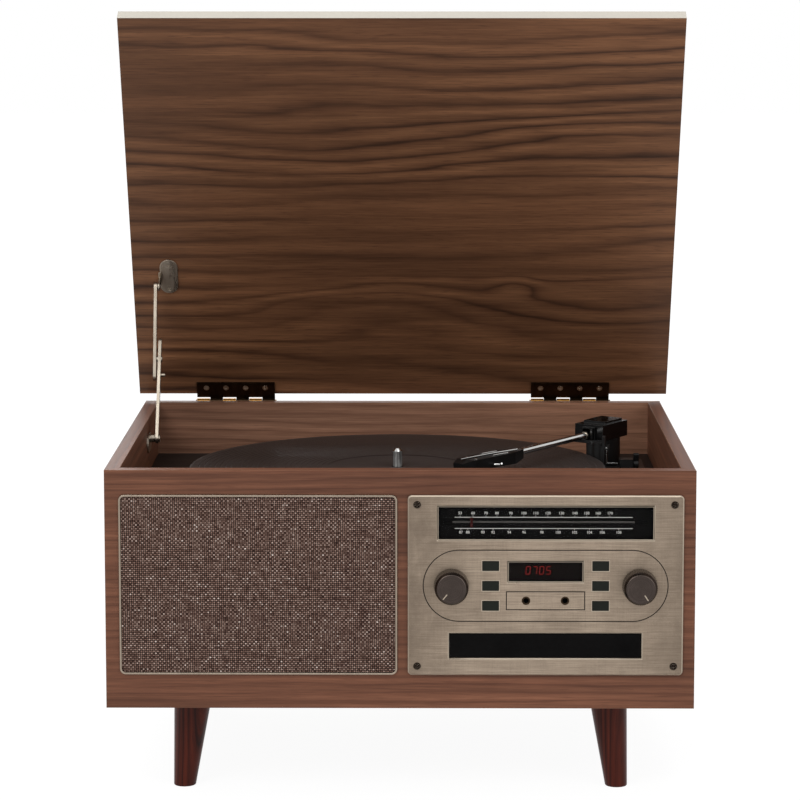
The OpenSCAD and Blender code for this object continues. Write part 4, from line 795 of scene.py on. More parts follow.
def border(outer: Array, inner: Array, heights: Sequence[float]) -> tuple[Array, list[Array]]:
    """Joins two outlines into a closed frame.

    Args:
        outer: the outer outline.
        inner: the inner outline, with as many points.
        heights: the heights of the outer edge's foot and top, then of the inner edge's top and foot.

    Returns:
        The points and the faces.
    """
    n = len(outer)
    loops = zip((outer, outer, inner, inner), heights)
    points = np.vstack([np.column_stack([outline, np.full(n, z)]) for outline, z in loops])
    return points, [band_faces(5, n, True) % (4 * n)]


def tube(path: Sequence[Sequence[float]], radius: float | Sequence[float], sides: int = 12,
         steps: int = 8) -> tuple[Array, list[Array]]:
    """Carries a circle along a smooth path: a Catmull-Rom curve through the points, with turned frames.

    Args:
        path: the points that it passes through.
        radius: its radius, or one for each point.
        sides: points round the circle.
        steps: steps between two points of the path.

    Returns:
        The points and the faces, closed at both ends.
    """
    p = np.array(path, dtype=float)
    r = np.broadcast_to(np.asarray(radius, dtype=float), (len(p),))
    q = np.vstack([2 * p[0] - p[1], p, 2 * p[-1] - p[-2]])
    t = np.linspace(0, 1, steps, endpoint=False)[:, None]
    spans = [0.5 * (2 * b + (c - a) * t + (2 * a - 5 * b + 4 * c - d) * t ** 2
                    + (3 * b - a - 3 * c + d) * t ** 3)
             for a, b, c, d in zip(q, q[1:], q[2:], q[3:])]
    line = np.vstack(spans + [p[-1:]])
    radii = np.interp(np.linspace(0, len(p) - 1, len(line)), np.arange(len(p)), r)
    ahead = np.gradient(line, axis=0)
    ahead /= np.linalg.norm(ahead, axis=1)[:, None]
    up = np.tile([0.0, 0.0, 1.0], (len(line), 1))
    up[np.abs(ahead[:, 2]) > 0.97] = [1.0, 0.0, 0.0]
    if np.abs(ahead[:, 2]).max() > 0.97:
        up[:] = [0.31, 0.93, 0.18]
    side = np.cross(ahead, up)
    side /= np.linalg.norm(side, axis=1)[:, None]
    above = np.cross(side, ahead)
    a = np.linspace(0, 2 * math.pi, sides, endpoint=False)
    rings = (line[:, None, :] + radii[:, None, None] * (np.cos(a)[None, :, None] * side[:, None, :]
                                                      + np.sin(a)[None, :, None] * above[:, None, :]))
    points = np.vstack([rings.reshape(-1, 3), line[:1], line[-1:]])
    n, last = len(points), (len(line) - 1) * sides
    j = np.arange(sides)
    k = (j + 1) % sides
    foot = np.stack([np.full(sides, n - 2), j, k], -1)
    tip = np.stack([np.full(sides, n - 1), last + k, last + j], -1)
    return points, [band_faces(len(line), sides, True)[:, ::-1], foot, tip]


FRONT = Matrix(((1, 0, 0, 0), (0, 0, -1, 0), (0, 1, 0, 0), (0, 0, 0, 1)))


def facing_front(x: float, y: float, z: float) -> Matrix:
    """Stands a shape drawn in X and Y, with its face up, upright so that it faces the front at a point."""
    return Matrix.Translation((x, y, z)) @ FRONT


# ------------------------------------------------------------------ workshop


class Workshop:
    """Dresses CAD nodes and adds new pieces to their bodies."""

    def __init__(self, frame: dict[str, Any], finishes: Finishes) -> None:
        """Keeps the frame and the finishes, and the nodes that still need a finish."""
        self.frame = frame
        self.finishes = finishes
        self.bare = set(frame["nodes"])
        self.slots = {s["node"]: s["material_slot"] for s in frame["record"]["subparts"]}

    def body(self, node: str) -> str:
        """Returns the body that a CAD node rides on."""
        return self.frame["nodes"][node]["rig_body"]

    def paint(self, node: str, finish: str) -> None:
        """Gives a CAD node that stays its finish."""
        data = self.frame["nodes"][node].data
        data.materials.clear()
        data.materials.append(self.finishes.get(finish))
        self.bare.discard(node)
        LOG.info("%s: painted %s", node, finish)

    def add(self, obj: bpy.types.Object, node: str, replaces: bool = False,
            slot: str | None = None) -> bpy.types.Object:
        """Makes a piece ride with a node's body, and stand for the node if asked.

        Args:
            obj: the finished piece.
            node: the CAD node that carries it.
            replaces: whether it stands for the node.
            slot: not used.

        Returns:
            The piece.
        """
        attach(obj, self.body(node))
        if replaces:
            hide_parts(node)
            self.bare.discard(node)
        LOG.info("%s: %d faces on %s", obj.name, len(obj.data.polygons), node)
        return obj

    def refine(self, node: str, finish: str, bevel: float, edge: str | None = None, segments: int = 2,
               angle: float = 40.0, suffix: str = "made") -> bpy.types.Object:
        """Stands a joined copy of a node in its place, with softened edges.

        Args:
            node: the CAD node.
            finish: its finish.
            bevel: the bevel's width.
            edge: the finish of the bevel, if it differs; each caller gives a lighter one, a painted highlight
                along the edges.
            segments: the bevel's segments.
            angle: edges sharper than this many degrees are bevelled.
            suffix: what its name ends with.

        Returns:
            The copy.
        """
        mesh = self.frame["nodes"][node].data.copy()
        mesh.name = f"{node}_{suffix}"
        work = bmesh.new()
        work.from_mesh(mesh)
        bmesh.ops.remove_doubles(work, verts=work.verts, dist=2e-6)
        bmesh.ops.dissolve_limit(work, angle_limit=math.radians(0.4), verts=work.verts, edges=work.edges)
        work.to_mesh(mesh)
        work.free()
        mesh.materials.clear()
        mesh.materials.append(self.finishes.get(finish))
        if edge:
            mesh.materials.append(self.finishes.get(edge))
        mesh.polygons.foreach_set("material_index", np.zeros(len(mesh.polygons), dtype=np.int32))
        obj = bpy.data.objects.new(mesh.name, mesh)
        bpy.context.scene.collection.objects.link(obj)
        mesh.shade_smooth()
        mesh.set_sharp_from_angle(angle=math.radians(30))
        if bevel > 0:
            cut = obj.modifiers.new("edges", "BEVEL")
            cut.width, cut.segments = bevel, segments
            cut.limit_method, cut.angle_limit = "ANGLE", math.radians(angle)
            cut.harden_normals = True
            cut.material = 1 if edge else -1
        return self.add(obj, node, replaces=True)


# ------------------------------------------------------------------ sub-assemblies


@dataclass
class Cabinet:
    """The walnut box, its deck and its four legs."""

    shop: Workshop
    arris: float = 0.7 * MM

    def build(self) -> None:
        """Veneers the boards, paints the deck and lacquers the legs."""
        # each board's bevels take a lighter walnut: a painted highlight along the edges
        for node, finish in (("front_board", "walnut_front"), ("back_board", "walnut_back"),
                             ("left_side_board", "walnut_side"), ("right_side_board", "walnut_side")):
            self.shop.refine(node, finish, self.arris, "walnut_edge_highlight", 2, 50.0, "veneered")
        self.shop.refine("bottom_board", "dark_board", 0.3 * MM)
        self.shop.refine("deck_board", "deck_paint", 0.3 * MM)
        self.shop.paint("corner_cleats", "dark_board")
        self.shop.refine("legs", "leg_lacquer", 0.8 * MM, None, 3, 50.0, "lacquered")
        self.shop.paint("leg_bolts", "zinc_steel")
        self.shop.refine("cabinet_screws", "satin_nickel", 0.08 * MM, None, 1)


@dataclass
class Lid:
    """The lid board with its pale free edge, its hinges, and the folding stay."""

    shop: Workshop
    free_edge: Vector = field(default_factory=lambda: Vector((0, -0.4617, 0.887)))

    def build(self) -> None:
        """Veneers the lid, marks its free edge, and dresses hinges and stay."""
        board = self.shop.refine("lid_board", "walnut_lid", 0.6 * MM, None, 2, 50.0, "veneered")
        board.data.materials.append(self.shop.finishes.get("ivory_edge"))
        normals = np.empty(len(board.data.polygons) * 3)
        board.data.polygons.foreach_get("normal", normals)
        along = normals.reshape(-1, 3) @ np.array(self.free_edge)
        board.data.polygons.foreach_set("material_index", (along > 0.95).astype(np.int32))
        board.data.update()
        shop = self.shop
        # the lid's leaves get a dark colour as a painted reflection; the hinge is the same brass as the fixed
        # leaves and pins
        shop.refine("hinge_lid_leaves", "dark_bronze_and_painted_reflection", 0.15 * MM)
        shop.refine("hinge_fixed_leaves", "warm_brass", 0.15 * MM)
        shop.refine("hinge_pins", "warm_brass", 0.15 * MM)
        shop.refine("lid_screws", "satin_nickel", 0.08 * MM, None, 1)
        for node in ("stay_wall_bracket", "stay_lid_bracket", "stay_upper_arm", "stay_lower_arm"):
            shop.refine(node, "satin_nickel", 0.25 * MM)


@dataclass
class Loudspeaker:
    """Two drivers behind a tweed panel in a thin metal trim."""

    shop: Workshop
    cut: tuple[float, float] = (185.7 * MM, 120.9 * MM)

    def cloth(self) -> bpy.types.Object:
        """Makes the cloth: a flat rounded panel whose edges turn in."""
        low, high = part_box("grille_cloth")
        width, height = high.x - low.x, high.z - low.z
        levels = np.array([(0.0, 0.0), (0.0, 1.45), (0.12, 1.7), (0.5, 1.9), (1.6, 1.97), (5.0, 2.0)]) * MM
        points, faces = slab(width, height, 2.6 * MM, levels, 8)
        shape = Shape().add(points, faces)
        shape.turned(facing_front((low.x + high.x) / 2, high.y, (low.z + high.z) / 2))
        return shape.build("grille_cloth_woven", [self.shop.finishes.get("tweed")], 60.0)

    def build(self) -> None:
        """Adds the cloth and trim, and paints the drivers behind."""
        shop = self.shop
        trim = shop.refine("grille_trim_frame", "trim_metal", 0.3 * MM, None, 2, 40.0)
        cloth = shop.add(self.cloth(), "grille_cloth", replaces=True)
        shop.paint("speaker_drivers", "zinc_steel")
        shop.paint("speaker_cones", "paper_cone")


@dataclass
class Lettering:
    """Plain numbers as thin raised ink in the plane of the front."""

    shop: Workshop
    depth: float = 0.06 * MM

    def number(self, text: str, x: float, y: float, z: float, size: float) -> tuple[Array, list[Array]]:
        """Outlines a number, centred at a point and facing the front.

        Args:
            text: digits only.
            x: the middle's X.
            y: the printed surface's Y.
            z: the middle's Z.
            size: the font's size.

        Returns:
            The points and the faces.
        """
        curve = bpy.data.curves.new("ink", "FONT")
        curve.body, curve.size, curve.align_x, curve.align_y = text, size, "CENTER", "CENTER"
        curve.extrude = self.depth / 2
        curve.resolution_u = 3
        curve.offset = size * 0.022
        obj = bpy.data.objects.new("ink", curve)
        bpy.context.scene.collection.objects.link(obj)
        mesh = obj.evaluated_get(bpy.context.evaluated_depsgraph_get()).to_mesh()
        points = np.empty(len(mesh.vertices) * 3)
        mesh.vertices.foreach_get("co", points)
        mesh.calc_loop_triangles()
        triangles = np.empty(len(mesh.loop_triangles) * 3, dtype=np.int32)
        mesh.loop_triangles.foreach_get("vertices", triangles)
        bpy.data.objects.remove(obj)
        bpy.data.curves.remove(curve)
        stood = moved(points.reshape(-1, 3), facing_front(x, y - self.depth / 2, z))
        return stood, [triangles.reshape(-1, 3)]


@dataclass
class Segments:
    """Seven-segment digits, each bar a flat hexagon."""

    height: float = 5.2 * MM
    lean: float = 0.12

    LIT = {"0": "abcdef", "5": "afgcd", "7": "abc"}

    def bar(self, x: float, z: float, length: float, upright: bool) -> Array:
        """Returns a bar's six corners about its middle, leaning with the digit."""
        t = self.height * 0.055
        half = length / 2
        inset = half - t
        flat = np.array([[-half, 0], [-inset, -t], [inset, -t], [half, 0], [inset, t], [-inset, t]])
        if upright:
            flat = flat[:, ::-1] * [-1, 1]
        flat = flat + [x, z]
        return np.column_stack([flat[:, 0] + flat[:, 1] * self.lean, flat[:, 1], np.zeros(6)])

    def digit(self, shape: Shape, figure: str, x: float) -> None:
        """Adds a figure's bars to a shape, at x along its row."""
        h, w = self.height, self.height * 0.52
        places = {"a": (0, h / 2, w, False), "g": (0, 0, w, False), "d": (0, -h / 2, w, False),
                  "f": (-w / 2, h / 4, h / 2, True), "b": (w / 2, h / 4, h / 2, True),
                  "e": (-w / 2, -h / 4, h / 2, True), "c": (w / 2, -h / 4, h / 2, True)}
        for key in self.LIT[figure]:
            px, pz, length, upright = places[key]
            shape.add(self.bar(x + px, pz, length * 0.94, upright), [np.arange(6)])


@dataclass
class Fascia:
    """The metal plate with its dial, display, knobs, buttons, jacks and disc tray."""

    shop: Workshop
    x: float = 98.5 * MM
    z: float = 149.35 * MM
    face: float = -167.5 * MM
    button_x: float = 37.2 * MM
    button_pitch: float = 13.7 * MM
    jack_x: float = 13.2 * MM
    jack_z: float = -10.25 * MM
    dial_opening: tuple[float, float, float] = (42.95 * MM, 146.0 * MM, 23.0 * MM)
    display_opening: tuple[float, float, float] = (9.6 * MM, 50.8 * MM, 14.1 * MM)
    medium_wave: tuple[tuple[int, float], ...] = (
        (53, 313), (60, 380), (70, 447), (80, 504), (90, 576), (100, 643), (110, 705), (120, 768), (130, 838),
        (140, 908), (150, 969), (160, 1028), (170, 1090))
    very_high: tuple[tuple[int, float], ...] = (
        (87, 317), (88, 353), (90, 431), (92, 484), (94, 568), (96, 645), (98, 737), (100, 821), (102, 906),
        (104, 984), (106, 1050), (108, 1136))

    def on_plate(self, dx: float, dz: float, y: float) -> Matrix:
        """Returns the move that stands a flat shape facing the front, at a place counted from the middle."""
        return facing_front(self.x + dx, y, self.z + dz)

    @staticmethod
    def across(place: float) -> float:
        """Turns a place along the dial into X."""
        return (place / 5.227 + 400 - 400.25) / 1.4665 * MM

    def dial(self) -> None:
        """Prints the scale's lines and numbers on its plate."""
        shop, ink = self.shop, Lettering(self.shop)
        low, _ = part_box("dial_scale_plate")
        y = low.y
        shape, dim = Shape(), Shape()
        left, right = self.across(285), self.across(1208)
        for z in (195.3 * MM, 187.6 * MM):
            shape.add(*self.strip((left + right) / 2, y, z, right - left, 0.42 * MM))
        for row, z in ((self.medium_wave, 198.1 * MM), (self.very_high, 184.9 * MM)):
            for number, place in row:
                shape.add(*ink.number(str(number), self.across(place), y, z, 2.5 * MM))
                tick = 196.0 * MM if z > 0.19 else 186.9 * MM
                shape.add(*self.strip(self.across(place), y, tick, 0.28 * MM, 1.0 * MM))
        dim.add(*self.strip((left + right) / 2, y + 1.4 * MM, 191.8 * MM, right - left + 3 * MM, 1.3 * MM))
        shop.add(shape.build("dial_print", [shop.finishes.get("printed_white")]), "dial_scale_plate")
        shop.add(dim.build("dial_track_line", [shop.finishes.get("printed_grey")]), "dial_scale_plate")
        shop.refine("dial_scale_plate", "dial_black", 0.1 * MM)
        shop.refine("tuning_pointer", "pointer_red", 0.1 * MM)

    def strip(self, x: float, y: float, z: float, width: float, height: float) -> tuple[Array, list[Array]]:
        """Returns a thin bar of ink, centred at (x, z) on the surface at y."""
        levels = [(0.0, 0.0), (0.0, 0.05 * MM), (0.02 * MM, 0.06 * MM)]
        points, faces = slab(width, height, min(width, height) / 4, levels, 2)
        return moved(points, facing_front(x, y, z)), faces

    def display(self) -> None:
        """Stands four faint red figures on a dark mask behind the display's window."""
        mask = Shape().add(*slab(50.2 * MM, 13.6 * MM, 0.4 * MM, [(0.0, 0.0), (0.0, 0.1 * MM)], 3))
        mask.turned(self.on_plate(0.0, self.display_opening[0], -163.42 * MM))
        self.shop.add(mask.build("display_mask", [self.shop.finishes.get("display_brown")]), "circuit_boards",
                      slot="plastic_black")
        shape, digits = Shape(), Segments()
        for place, figure in enumerate("0705"):
            digits.digit(shape, figure, (place - 1.5) * 4.6 * MM)
        shape.turned(self.on_plate(-4.85 * MM, 9.9 * MM, -163.56 * MM))
        figures = shape.build("display_figures", [self.shop.finishes.get("lit_segment")])
        self.shop.add(figures, "circuit_boards", slot="pointer_red")

    def knob(self, node: str) -> None:
        """Turns a knob: a knurled skirt, a polished chamfer and a spun face with a cut mark."""
        shop = self.shop
        low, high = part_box(node)
        x, z = (low.x + high.x) / 2, (low.z + high.z) / 2
        base, top = -168.3 * MM, low.y
        depth = base - top
        skirt = [(0, 0), (11.2 * MM, 0), (11.9 * MM, 0.5 * MM), (11.85 * MM, 1.0 * MM), (11.6 * MM, 2.2 * MM)]
        crown = [(11.35, 3.2), (11.2, 2.6), (10.9, 2.2), (9.95, 0.35), (9.5, 0.04), (9.2, 0.0), (8.9, 0.12),
                 (0.6, 0.25), (0.0, 0.25)]
        profile = skirt + [(radius * MM, depth - below * MM) for radius, below in crown]
        points, faces = lathe(profile, 240, 0.14 * MM, 60, (3, 4))
        shape = Shape().add(points, faces)
        shape.turned(facing_front(x, base, z))
        metal = shop.finishes.get(node.replace("_knob", "_metal"))
        shop.add(shape.build(f"{node}_spun", [metal], 28.0), node, replaces=True)
        angle = math.radians(-130 if node == "volume_knob" else -57)
        levels = [(0, 0), (0, 0.12 * MM), (0.1 * MM, 0.2 * MM)]
        mark = Shape().add(*slab(4.6 * MM, 0.7 * MM, 0.3 * MM, levels, 3))
        mark.turned(facing_front(x, base - depth + 0.22 * MM, z) @ Matrix.Rotation(angle, 4, "Z")
                    @ Matrix.Translation((6.9 * MM, 0, 0)))
        shop.add(mark.build(f"{node}_mark", [shop.finishes.get("champagne_edge")]), node, slot="nickel")

    def rims(self) -> None:
        """Adds the thin bright lips round dial, display and buttons, and a ring round each jack."""
        shop, sides = self.shop, (-1, 1)
        shape = Shape()
        for opening in (self.dial_opening, self.display_opening):
            shape.add(*self.lip(*opening))
        outer, inner = rounded(12.5 * MM, 7.9 * MM, 0.5 * MM, 3), rounded(11.5 * MM, 6.9 * MM, 0.3 * MM, 3)
        for side in sides:
            for row in (-1, 0, 1):
                points, faces = border(outer, inner, (0.0, 0.12 * MM, 0.18 * MM, 0.0))
                place = self.on_plate(side * self.button_x, row * self.button_pitch, self.face)
                shape.add(moved(points, place), faces)
        lips = shape.build("window_lips", [shop.finishes.get("champagne_edge")])
        shop.add(lips, "fascia_plate", slot="fascia_metal")
        profile = np.array([(1.8, 0), (2.75, 0), (2.75, 0.25), (2.5, 0.5), (2.1, 0.5), (1.8, 0.2)]) * MM
        for side, name in zip(sides, ("left_jack_ring", "right_jack_ring")):
            ring = Shape().add(*ring_lathe(profile, 40))
            ring.turned(self.on_plate(side * self.jack_x, self.jack_z, -167.3 * MM))
            shop.add(ring.build(name, [shop.finishes.get("dark_bronze_and_painted_reflection")]), "jack_sockets", slot="bronze")

    def engraving(self) -> None:
        """Inks the floor of both engraved lines."""
        shape = Shape()
        for dz, width, height, radius in ((0.0, 166.3, 49.7, 24.85), (self.jack_z / MM, 53.7, 13.1, 0.05)):
            outer = rounded((width - 0.1) * MM, (height - 0.1) * MM, (radius - 0.05) * MM + 1e-5, 24)
            inner = rounded((width - 1.3) * MM, (height - 1.3) * MM, max(radius - 0.65, 0.04) * MM, 24)
            points, faces = border(outer, inner, (0.0, 0.22 * MM, 0.22 * MM, 0.0))
            shape.add(moved(points, self.on_plate(0.0, dz * MM, -167.13 * MM)), faces)
        lines = shape.build("engraved_lines", [self.shop.finishes.get("groove_dark")])
        self.shop.add(lines, "fascia_plate", slot="bronze")

    def lip(self, dz: float, width: float, height: float) -> tuple[Array, list[Array]]:
        """Carries a small bead along an opening's inner edge."""
        outer = rounded(width - 0.3 * MM, height - 0.3 * MM, 0.4 * MM, 3)
        inner = rounded(width - 0.9 * MM, height - 0.9 * MM, 0.3 * MM, 3)
        points, faces = border(outer, inner, (0.0, 0.28 * MM, 0.22 * MM, 0.0))
        return moved(points, self.on_plate(0.0, dz, -167.1 * MM)), faces

    def build(self) -> None:
        """Dresses the plate and everything on it."""
        shop = self.shop
        # the plate's bevels and the slopes round its openings take a lighter champagne metal: a painted
        # highlight along the edges
        plate = shop.refine("fascia_plate", "champagne_metal", 0.13 * MM, "champagne_edge", 2, 30.0,
                            "brushed").data
        facing = np.empty(len(plate.polygons) * 3)
        plate.polygons.foreach_get("normal", facing)
        slope = -facing.reshape(-1, 3)[:, 1]
        plate.polygons.foreach_set("material_index", ((slope > 0.3) & (slope < 0.95)).astype(np.int32))
        self.engraving()
        # the black screws' bevels take satin nickel: a painted highlight round the heads
        shop.refine("fascia_screws", "screw_black", 0.12 * MM, "satin_nickel", 1)
        self.windows()
        self.dial()
        self.display()
        self.rims()
        for node in ("volume_knob", "tuning_knob"):
            self.knob(node)
        for side in ("left", "right"):
            for row in ("top", "middle", "bottom"):
                shop.refine(f"button_{side}_{row}", "button_black", 0.35 * MM, None, 3)
        shop.refine("jack_sockets", "satin_black", 0.15 * MM)
        shop.refine("cd_tray", "drawer_black", 0.3 * MM, None, 3)
        for node, finish in (("circuit_boards", "board_green"), ("rotary_controls", "zinc_steel"),
                             ("cd_loader_case", "zinc_steel"), ("cd_laser_unit", "cast_alloy"),
                             ("mains_transformer", "zinc_steel")):
            shop.paint(node, finish)
        shop.refine("rear_panel", "satin_black", 0.25 * MM)

    def windows(self) -> None:
        """Makes the two windows as polished panes with eased edges."""
        shop = self.shop
        play = 0.2 * MM
        levels = [(0, 0), (0, 1.8 * MM), (0.06 * MM, 1.94 * MM), (0.2 * MM, 2.0 * MM)]
        for name, (dz, width, height), finish in (("dial_pane", self.dial_opening, "dial_window"),
                                                  ("display_pane", self.display_opening, "display_window")):
            shape = Shape().add(*slab(width - play, height - play, 0.5 * MM, levels, 4))
            shape.turned(self.on_plate(0.0, dz, -165.1 * MM))
            pane = shape.build(name, [shop.finishes.get(finish)])
            shop.add(pane, "fascia_windows", replaces=name == "dial_pane")


@dataclass
class Turntable:
    """The platter with its grooved mat and spindle, and the drive under the deck."""

    shop: Workshop
    x: float = -3.0 * MM
    mat_low: float = 201.0 * MM

    def mat(self) -> bpy.types.Object:
        """Turns the mat: a sunk label, then ribs whose height follows |sin| of the radius."""
        r = np.linspace(52.2, 146.5, 520) * MM
        period = 3.9 * MM
        rib = np.clip(np.abs(np.sin(math.pi * r / period)) * 3.2, 0, 1)
        z = self.mat_low + (2.62 + 0.36 * rib) * MM
        top = np.column_stack([r, z])[::-1]
        rim = np.array([(150.6, 0.0), (150.9, 0.3), (151.0, 1.2), (150.9, 2.6), (150.4, 2.95), (148.6, 3.0),
                        (147.2, 2.95)])
        label = np.array([(51.6, 2.9), (51.0, 2.75), (50.2, 2.42), (49.6, 2.4), (30.0, 2.4), (6.5, 2.4),
                          (6.2, 2.35), (4.3, 2.35), (4.05, 2.1), (4.0, 0.0)])
        profile = np.vstack([rim * MM + [0, self.mat_low], top, label * MM + [0, self.mat_low]])
        points, faces = ring_lathe([tuple(p) for p in profile], 144)
        shape = Shape().add(points, faces)
        shape.turned(Matrix.Translation((self.x, 0, 0)))
        return shape.build("platter_mat_ribbed", [self.shop.finishes.get("mat_rubber")], 60.0)

    def build(self) -> None:
        """Dresses the platter, its mat and spindle, and paints the drive."""
        shop = self.shop
        shop.add(self.mat(), "platter_mat", replaces=True)
        shop.refine("platter", "cast_alloy", 0.35 * MM)
        shop.refine("platter_spindle", "polished_chrome", 0.25 * MM, None, 3)
        shop.paint("platter_bearing", "warm_brass")
        shop.paint("turntable_motor", "zinc_steel")
        shop.refine("motor_pulley", "warm_brass", 0.15 * MM)
        shop.refine("drive_belt", "belt_rubber", 0.0)


@dataclass
class Tonearm:
    """The arm with its pivot housing, head, rest, lift and levers."""

    shop: Workshop
    pivot: Vector = field(default_factory=lambda: Vector((152 * MM, 90 * MM, 0)))
    tube_z: float = 216 * MM
    arm_angle: float = math.radians(-123.4)
    head_angle: float = math.radians(-133.0)
    tube_length: float = 123.5 * MM

    def on_head(self) -> Matrix:
        """Returns the move from a head drawn along +X from its neck to its place."""
        neck = self.pivot + Vector((math.cos(self.arm_angle), math.sin(self.arm_angle), 0)) * self.tube_length
        return Matrix.Translation(neck) @ Matrix.Rotation(self.head_angle, 4, "Z")

    def finger_lift(self) -> bpy.types.Object:
        """Bends a flat silver finger lift: out from the head's near side, then up at its tip."""
        z = 212.6 * MM
        path = [(35.0 * MM, 8.0 * MM, z), (36.5 * MM, 10.2 * MM, z), (34.0 * MM, 13.4 * MM, z + 0.1 * MM),
                (35.5 * MM, 16.0 * MM, z + 1.3 * MM)]
        shape = Shape().add(*tube(path, [0.95 * MM, 0.95 * MM, 0.9 * MM, 0.7 * MM], 12, 6))
        shape.turned(self.on_head())
        return shape.build("finger_lift_wire", [self.shop.finishes.get("polished_chrome")])

    def head_trim(self) -> bpy.types.Object:
        """Lays silver work on the head's top: a ridge along its middle, two ribs and two screws."""
        shape = Shape()
        shape.add(*tube([(1.0 * MM, 0, 218.4 * MM), (20 * MM, 0, 218.6 * MM), (40 * MM, 0, 218.55 * MM),
                         (61 * MM, 0, 218.3 * MM)], [0.75 * MM, 0.65 * MM, 0.55 * MM, 0.4 * MM], 12, 5))
        for side in (-5.4, 5.4):
            shape.add(*tube([(17 * MM, side * MM, 218.4 * MM), (25 * MM, side * MM, 218.5 * MM),
                             (33 * MM, side * MM, 218.4 * MM)], 0.45 * MM, 10, 4))
        screw = np.array([(0, 0), (1.3, 0), (1.3, 0.35), (0.9, 0.6), (0, 0.62)]) * MM
        for side in (-4.2, 4.2):
            points, faces = lathe(screw, 20)
            shape.add(points + np.array([50.0 * MM, side * MM, 217.55 * MM]), faces)
        shape.turned(self.on_head())
        return shape.build("head_silver_work", [self.shop.finishes.get("polished_chrome")])

    def collar(self) -> bpy.types.Object:
        """Turns a bright gland where the tube leaves its housing."""
        profile = np.array([(2.55, 0), (2.95, 0), (3.05, 0.4), (3.05, 1.8), (2.9, 2.2), (2.55, 2.2)]) * MM
        shape = Shape().add(*ring_lathe(profile, 32))
        along = Matrix.Rotation(self.arm_angle, 4, "Z")
        turn = Matrix.Translation(self.pivot + Vector((0, 0, self.tube_z))) @ along
        shape.turned(turn @ Matrix.Translation((27.0 * MM, 0, 0)) @ Matrix.Rotation(math.pi / 2, 4, "Y"))
        return shape.build("tube_gland", [self.shop.finishes.get("satin_nickel")])

    def build(self) -> None:
        """Dresses the arm, and adds its small bright pieces."""
        shop = self.shop
        shop.refine("tonearm_base", "satin_black", 0.5 * MM, None, 3)
        # the gimbal's bevels take a light grey: a painted highlight on its edges
        shop.refine("tonearm_gimbal", "gloss_black", 0.7 * MM, "grey_edge_highlight", 3)
        shop.refine("tonearm_tube", "polished_chrome", 0.15 * MM)
        shop.refine("headshell", "head_black", 0.45 * MM, None, 3)
        shop.refine("cartridge", "gloss_black", 0.25 * MM)
        shop.refine("cue_lift", "satin_black", 0.25 * MM)
        shop.refine("cue_lever", "satin_black", 0.3 * MM)
        shop.refine("arm_clip", "polished_chrome", 0.15 * MM)
        shop.refine("speed_lever", "satin_nickel", 0.4 * MM)
        shop.add(self.finger_lift(), "headshell", slot="chrome")
        shop.add(self.head_trim(), "headshell", slot="chrome")
        shop.add(self.collar(), "tonearm_tube", slot="nickel")


# ------------------------------------------------------------------ studio


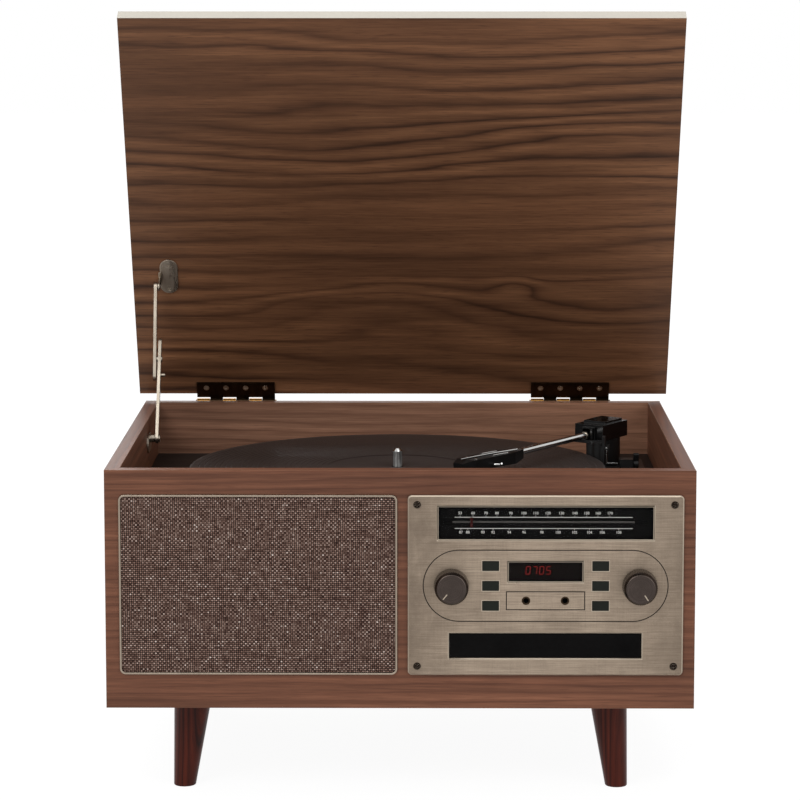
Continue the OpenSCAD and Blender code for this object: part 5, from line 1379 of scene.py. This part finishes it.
@dataclass
class Studio:
    """A pale floor, soft lamps and the camera at the photograph's angle."""

    focal: float = 141.1
    place: tuple[float, float, float] = (0.01397, -2.2526, 0.57546)
    pitch: float = 0.12337
    yaw: float = -0.0067
    lift: float = -60.0 / 800.0

    def camera(self) -> None:
        """Makes the camera: its view runs along (sin yaw cos pitch, cos yaw cos pitch, -sin pitch)."""
        data = bpy.data.cameras.new("camera")
        data.lens, data.sensor_width, data.shift_y = self.focal, 36.0, self.lift
        data.clip_end = 60.0
        obj = bpy.data.objects.new("camera", data)
        obj.location = self.place
        ahead = Vector((math.sin(self.yaw) * math.cos(self.pitch), math.cos(self.yaw) * math.cos(self.pitch),
                        -math.sin(self.pitch)))
        obj.rotation_euler = ahead.to_track_quat("-Z", "Y").to_euler()
        bpy.context.scene.collection.objects.link(obj)
        bpy.context.scene.camera = obj

    def lamp(self, name: str, place: Sequence[float], size: float, power: float) -> None:
        """Hangs a square soft lamp that looks at the object's middle."""
        data = bpy.data.lights.new(name, "AREA")
        data.shape, data.size, data.energy = "SQUARE", size, power
        obj = bpy.data.objects.new(name, data)
        obj.location = place
        obj.rotation_euler = (Vector((0, 0, 0.25)) - Vector(place)).to_track_quat("-Z", "Y").to_euler()
        bpy.context.scene.collection.objects.link(obj)

    def surroundings(self) -> None:
        """Lights the air evenly, and shows white to the camera and in reflections."""
        world = bpy.data.worlds.new("studio")
        bpy.context.scene.world = world
        world.use_nodes = True
        tree = world.node_tree
        tree.nodes.clear()
        out = tree.nodes.new("ShaderNodeOutputWorld")
        light, white, mix = (tree.nodes.new(k) for k in ("ShaderNodeBackground", "ShaderNodeBackground",
                                                         "ShaderNodeMixShader"))
        light.inputs[0].default_value, light.inputs[1].default_value = (1, 1, 1, 1), 0.42
        white.inputs[0].default_value, white.inputs[1].default_value = (1, 1, 1, 1), 1.0
        tree.links.new(self.seen(tree), mix.inputs[0])
        tree.links.new(light.outputs[0], mix.inputs[1])
        tree.links.new(white.outputs[0], mix.inputs[2])
        tree.links.new(mix.outputs[0], out.inputs[0])

    @staticmethod
    def seen(tree: bpy.types.NodeTree) -> Socket:
        """Returns 1 where a camera, glossy or transmission ray looks, and 0 elsewhere."""
        path = tree.nodes.new("ShaderNodeLightPath")
        add, both = (tree.nodes.new("ShaderNodeMath") for _ in range(2))
        add.operation = both.operation = "ADD"
        tree.links.new(path.outputs["Is Glossy Ray"], both.inputs[0])
        tree.links.new(path.outputs["Is Transmission Ray"], both.inputs[1])
        tree.links.new(path.outputs["Is Camera Ray"], add.inputs[0])
        tree.links.new(both.outputs[0], add.inputs[1])
        add.use_clamp = True
        return add.outputs[0]

    def floor(self) -> None:
        """Lays a round floor, r from 0 to 9 m, that is nearly white to the camera but keeps a soft shadow."""
        points, faces = lathe([(0, -0.02), (9.0, -0.02), (9.0, 0.0), (0, 0.0)], 96)
        finish = Graph("pale_floor", (0.9, 0.9, 0.9))
        cloud = finish.noise(finish.coordinates, 3.0, 2.0, 0.5)
        tone = finish.ramp(cloud, [(0.2, (0.86, 0.86, 0.86)), (0.8, (0.9, 0.9, 0.9))])
        finish.finish(Base_Color=tone, Roughness=0.7)
        tree = finish.tree
        glow, mix, scale = (tree.nodes.new(k) for k in ("ShaderNodeEmission", "ShaderNodeMixShader",
                                                        "ShaderNodeMath"))
        scale.operation = "MULTIPLY"
        x, y, _ = finish.split(finish.coordinates)
        far = finish.hypotenuse(x, y)
        tree.links.new(finish.grey(far, 0.87, 1.0, 0.35, 1.1), scale.inputs[1])
        tree.links.new(self.seen(tree), scale.inputs[0])
        tree.links.new(scale.outputs[0], mix.inputs[0])
        tree.links.new(finish.shader.outputs[0], mix.inputs[1])
        tree.links.new(glow.outputs[0], mix.inputs[2])
        glow.inputs[0].default_value, glow.inputs[1].default_value = (1, 1, 1, 1), 1.08
        tree.links.new(mix.outputs[0], finish.output.inputs["Surface"])
        Shape().add(points, faces).build("studio_floor", [finish.material])

    def build(self) -> None:
        """Sets the view, the camera, the lamps, the air and the floor."""
        bpy.context.scene.view_settings.view_transform = "Standard"
        self.camera()
        self.lamp("key", (-1.5, -2.4, 2.3), 1.6, 46.0)
        self.lamp("fill", (2.0, -2.3, 1.2), 1.8, 22.0)
        self.lamp("top", (0.2, 0.4, 2.9), 1.8, 30.0)
        self.lamp("rear", (-0.8, 2.6, 1.6), 1.6, 18.0)
        self.surroundings()
        self.floor()


def main() -> None:
    """Loads the frame, sets up the studio, dresses each sub-assembly in turn, and stops if a node has no
    finish.
    """
    logging.basicConfig(level=logging.INFO, format="%(name)s: %(message)s")
    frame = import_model()
    shop = Workshop(frame, Finishes())
    Studio().build()
    for assembly in (Cabinet, Lid, Loudspeaker, Fascia, Turntable, Tonearm):
        LOG.info("building %s", assembly.__name__)
        assembly(shop).build()
    if shop.bare:
        raise RuntimeError(f"these nodes have no finish: {sorted(shop.bare)}")


if __name__ == "__main__":
    main()
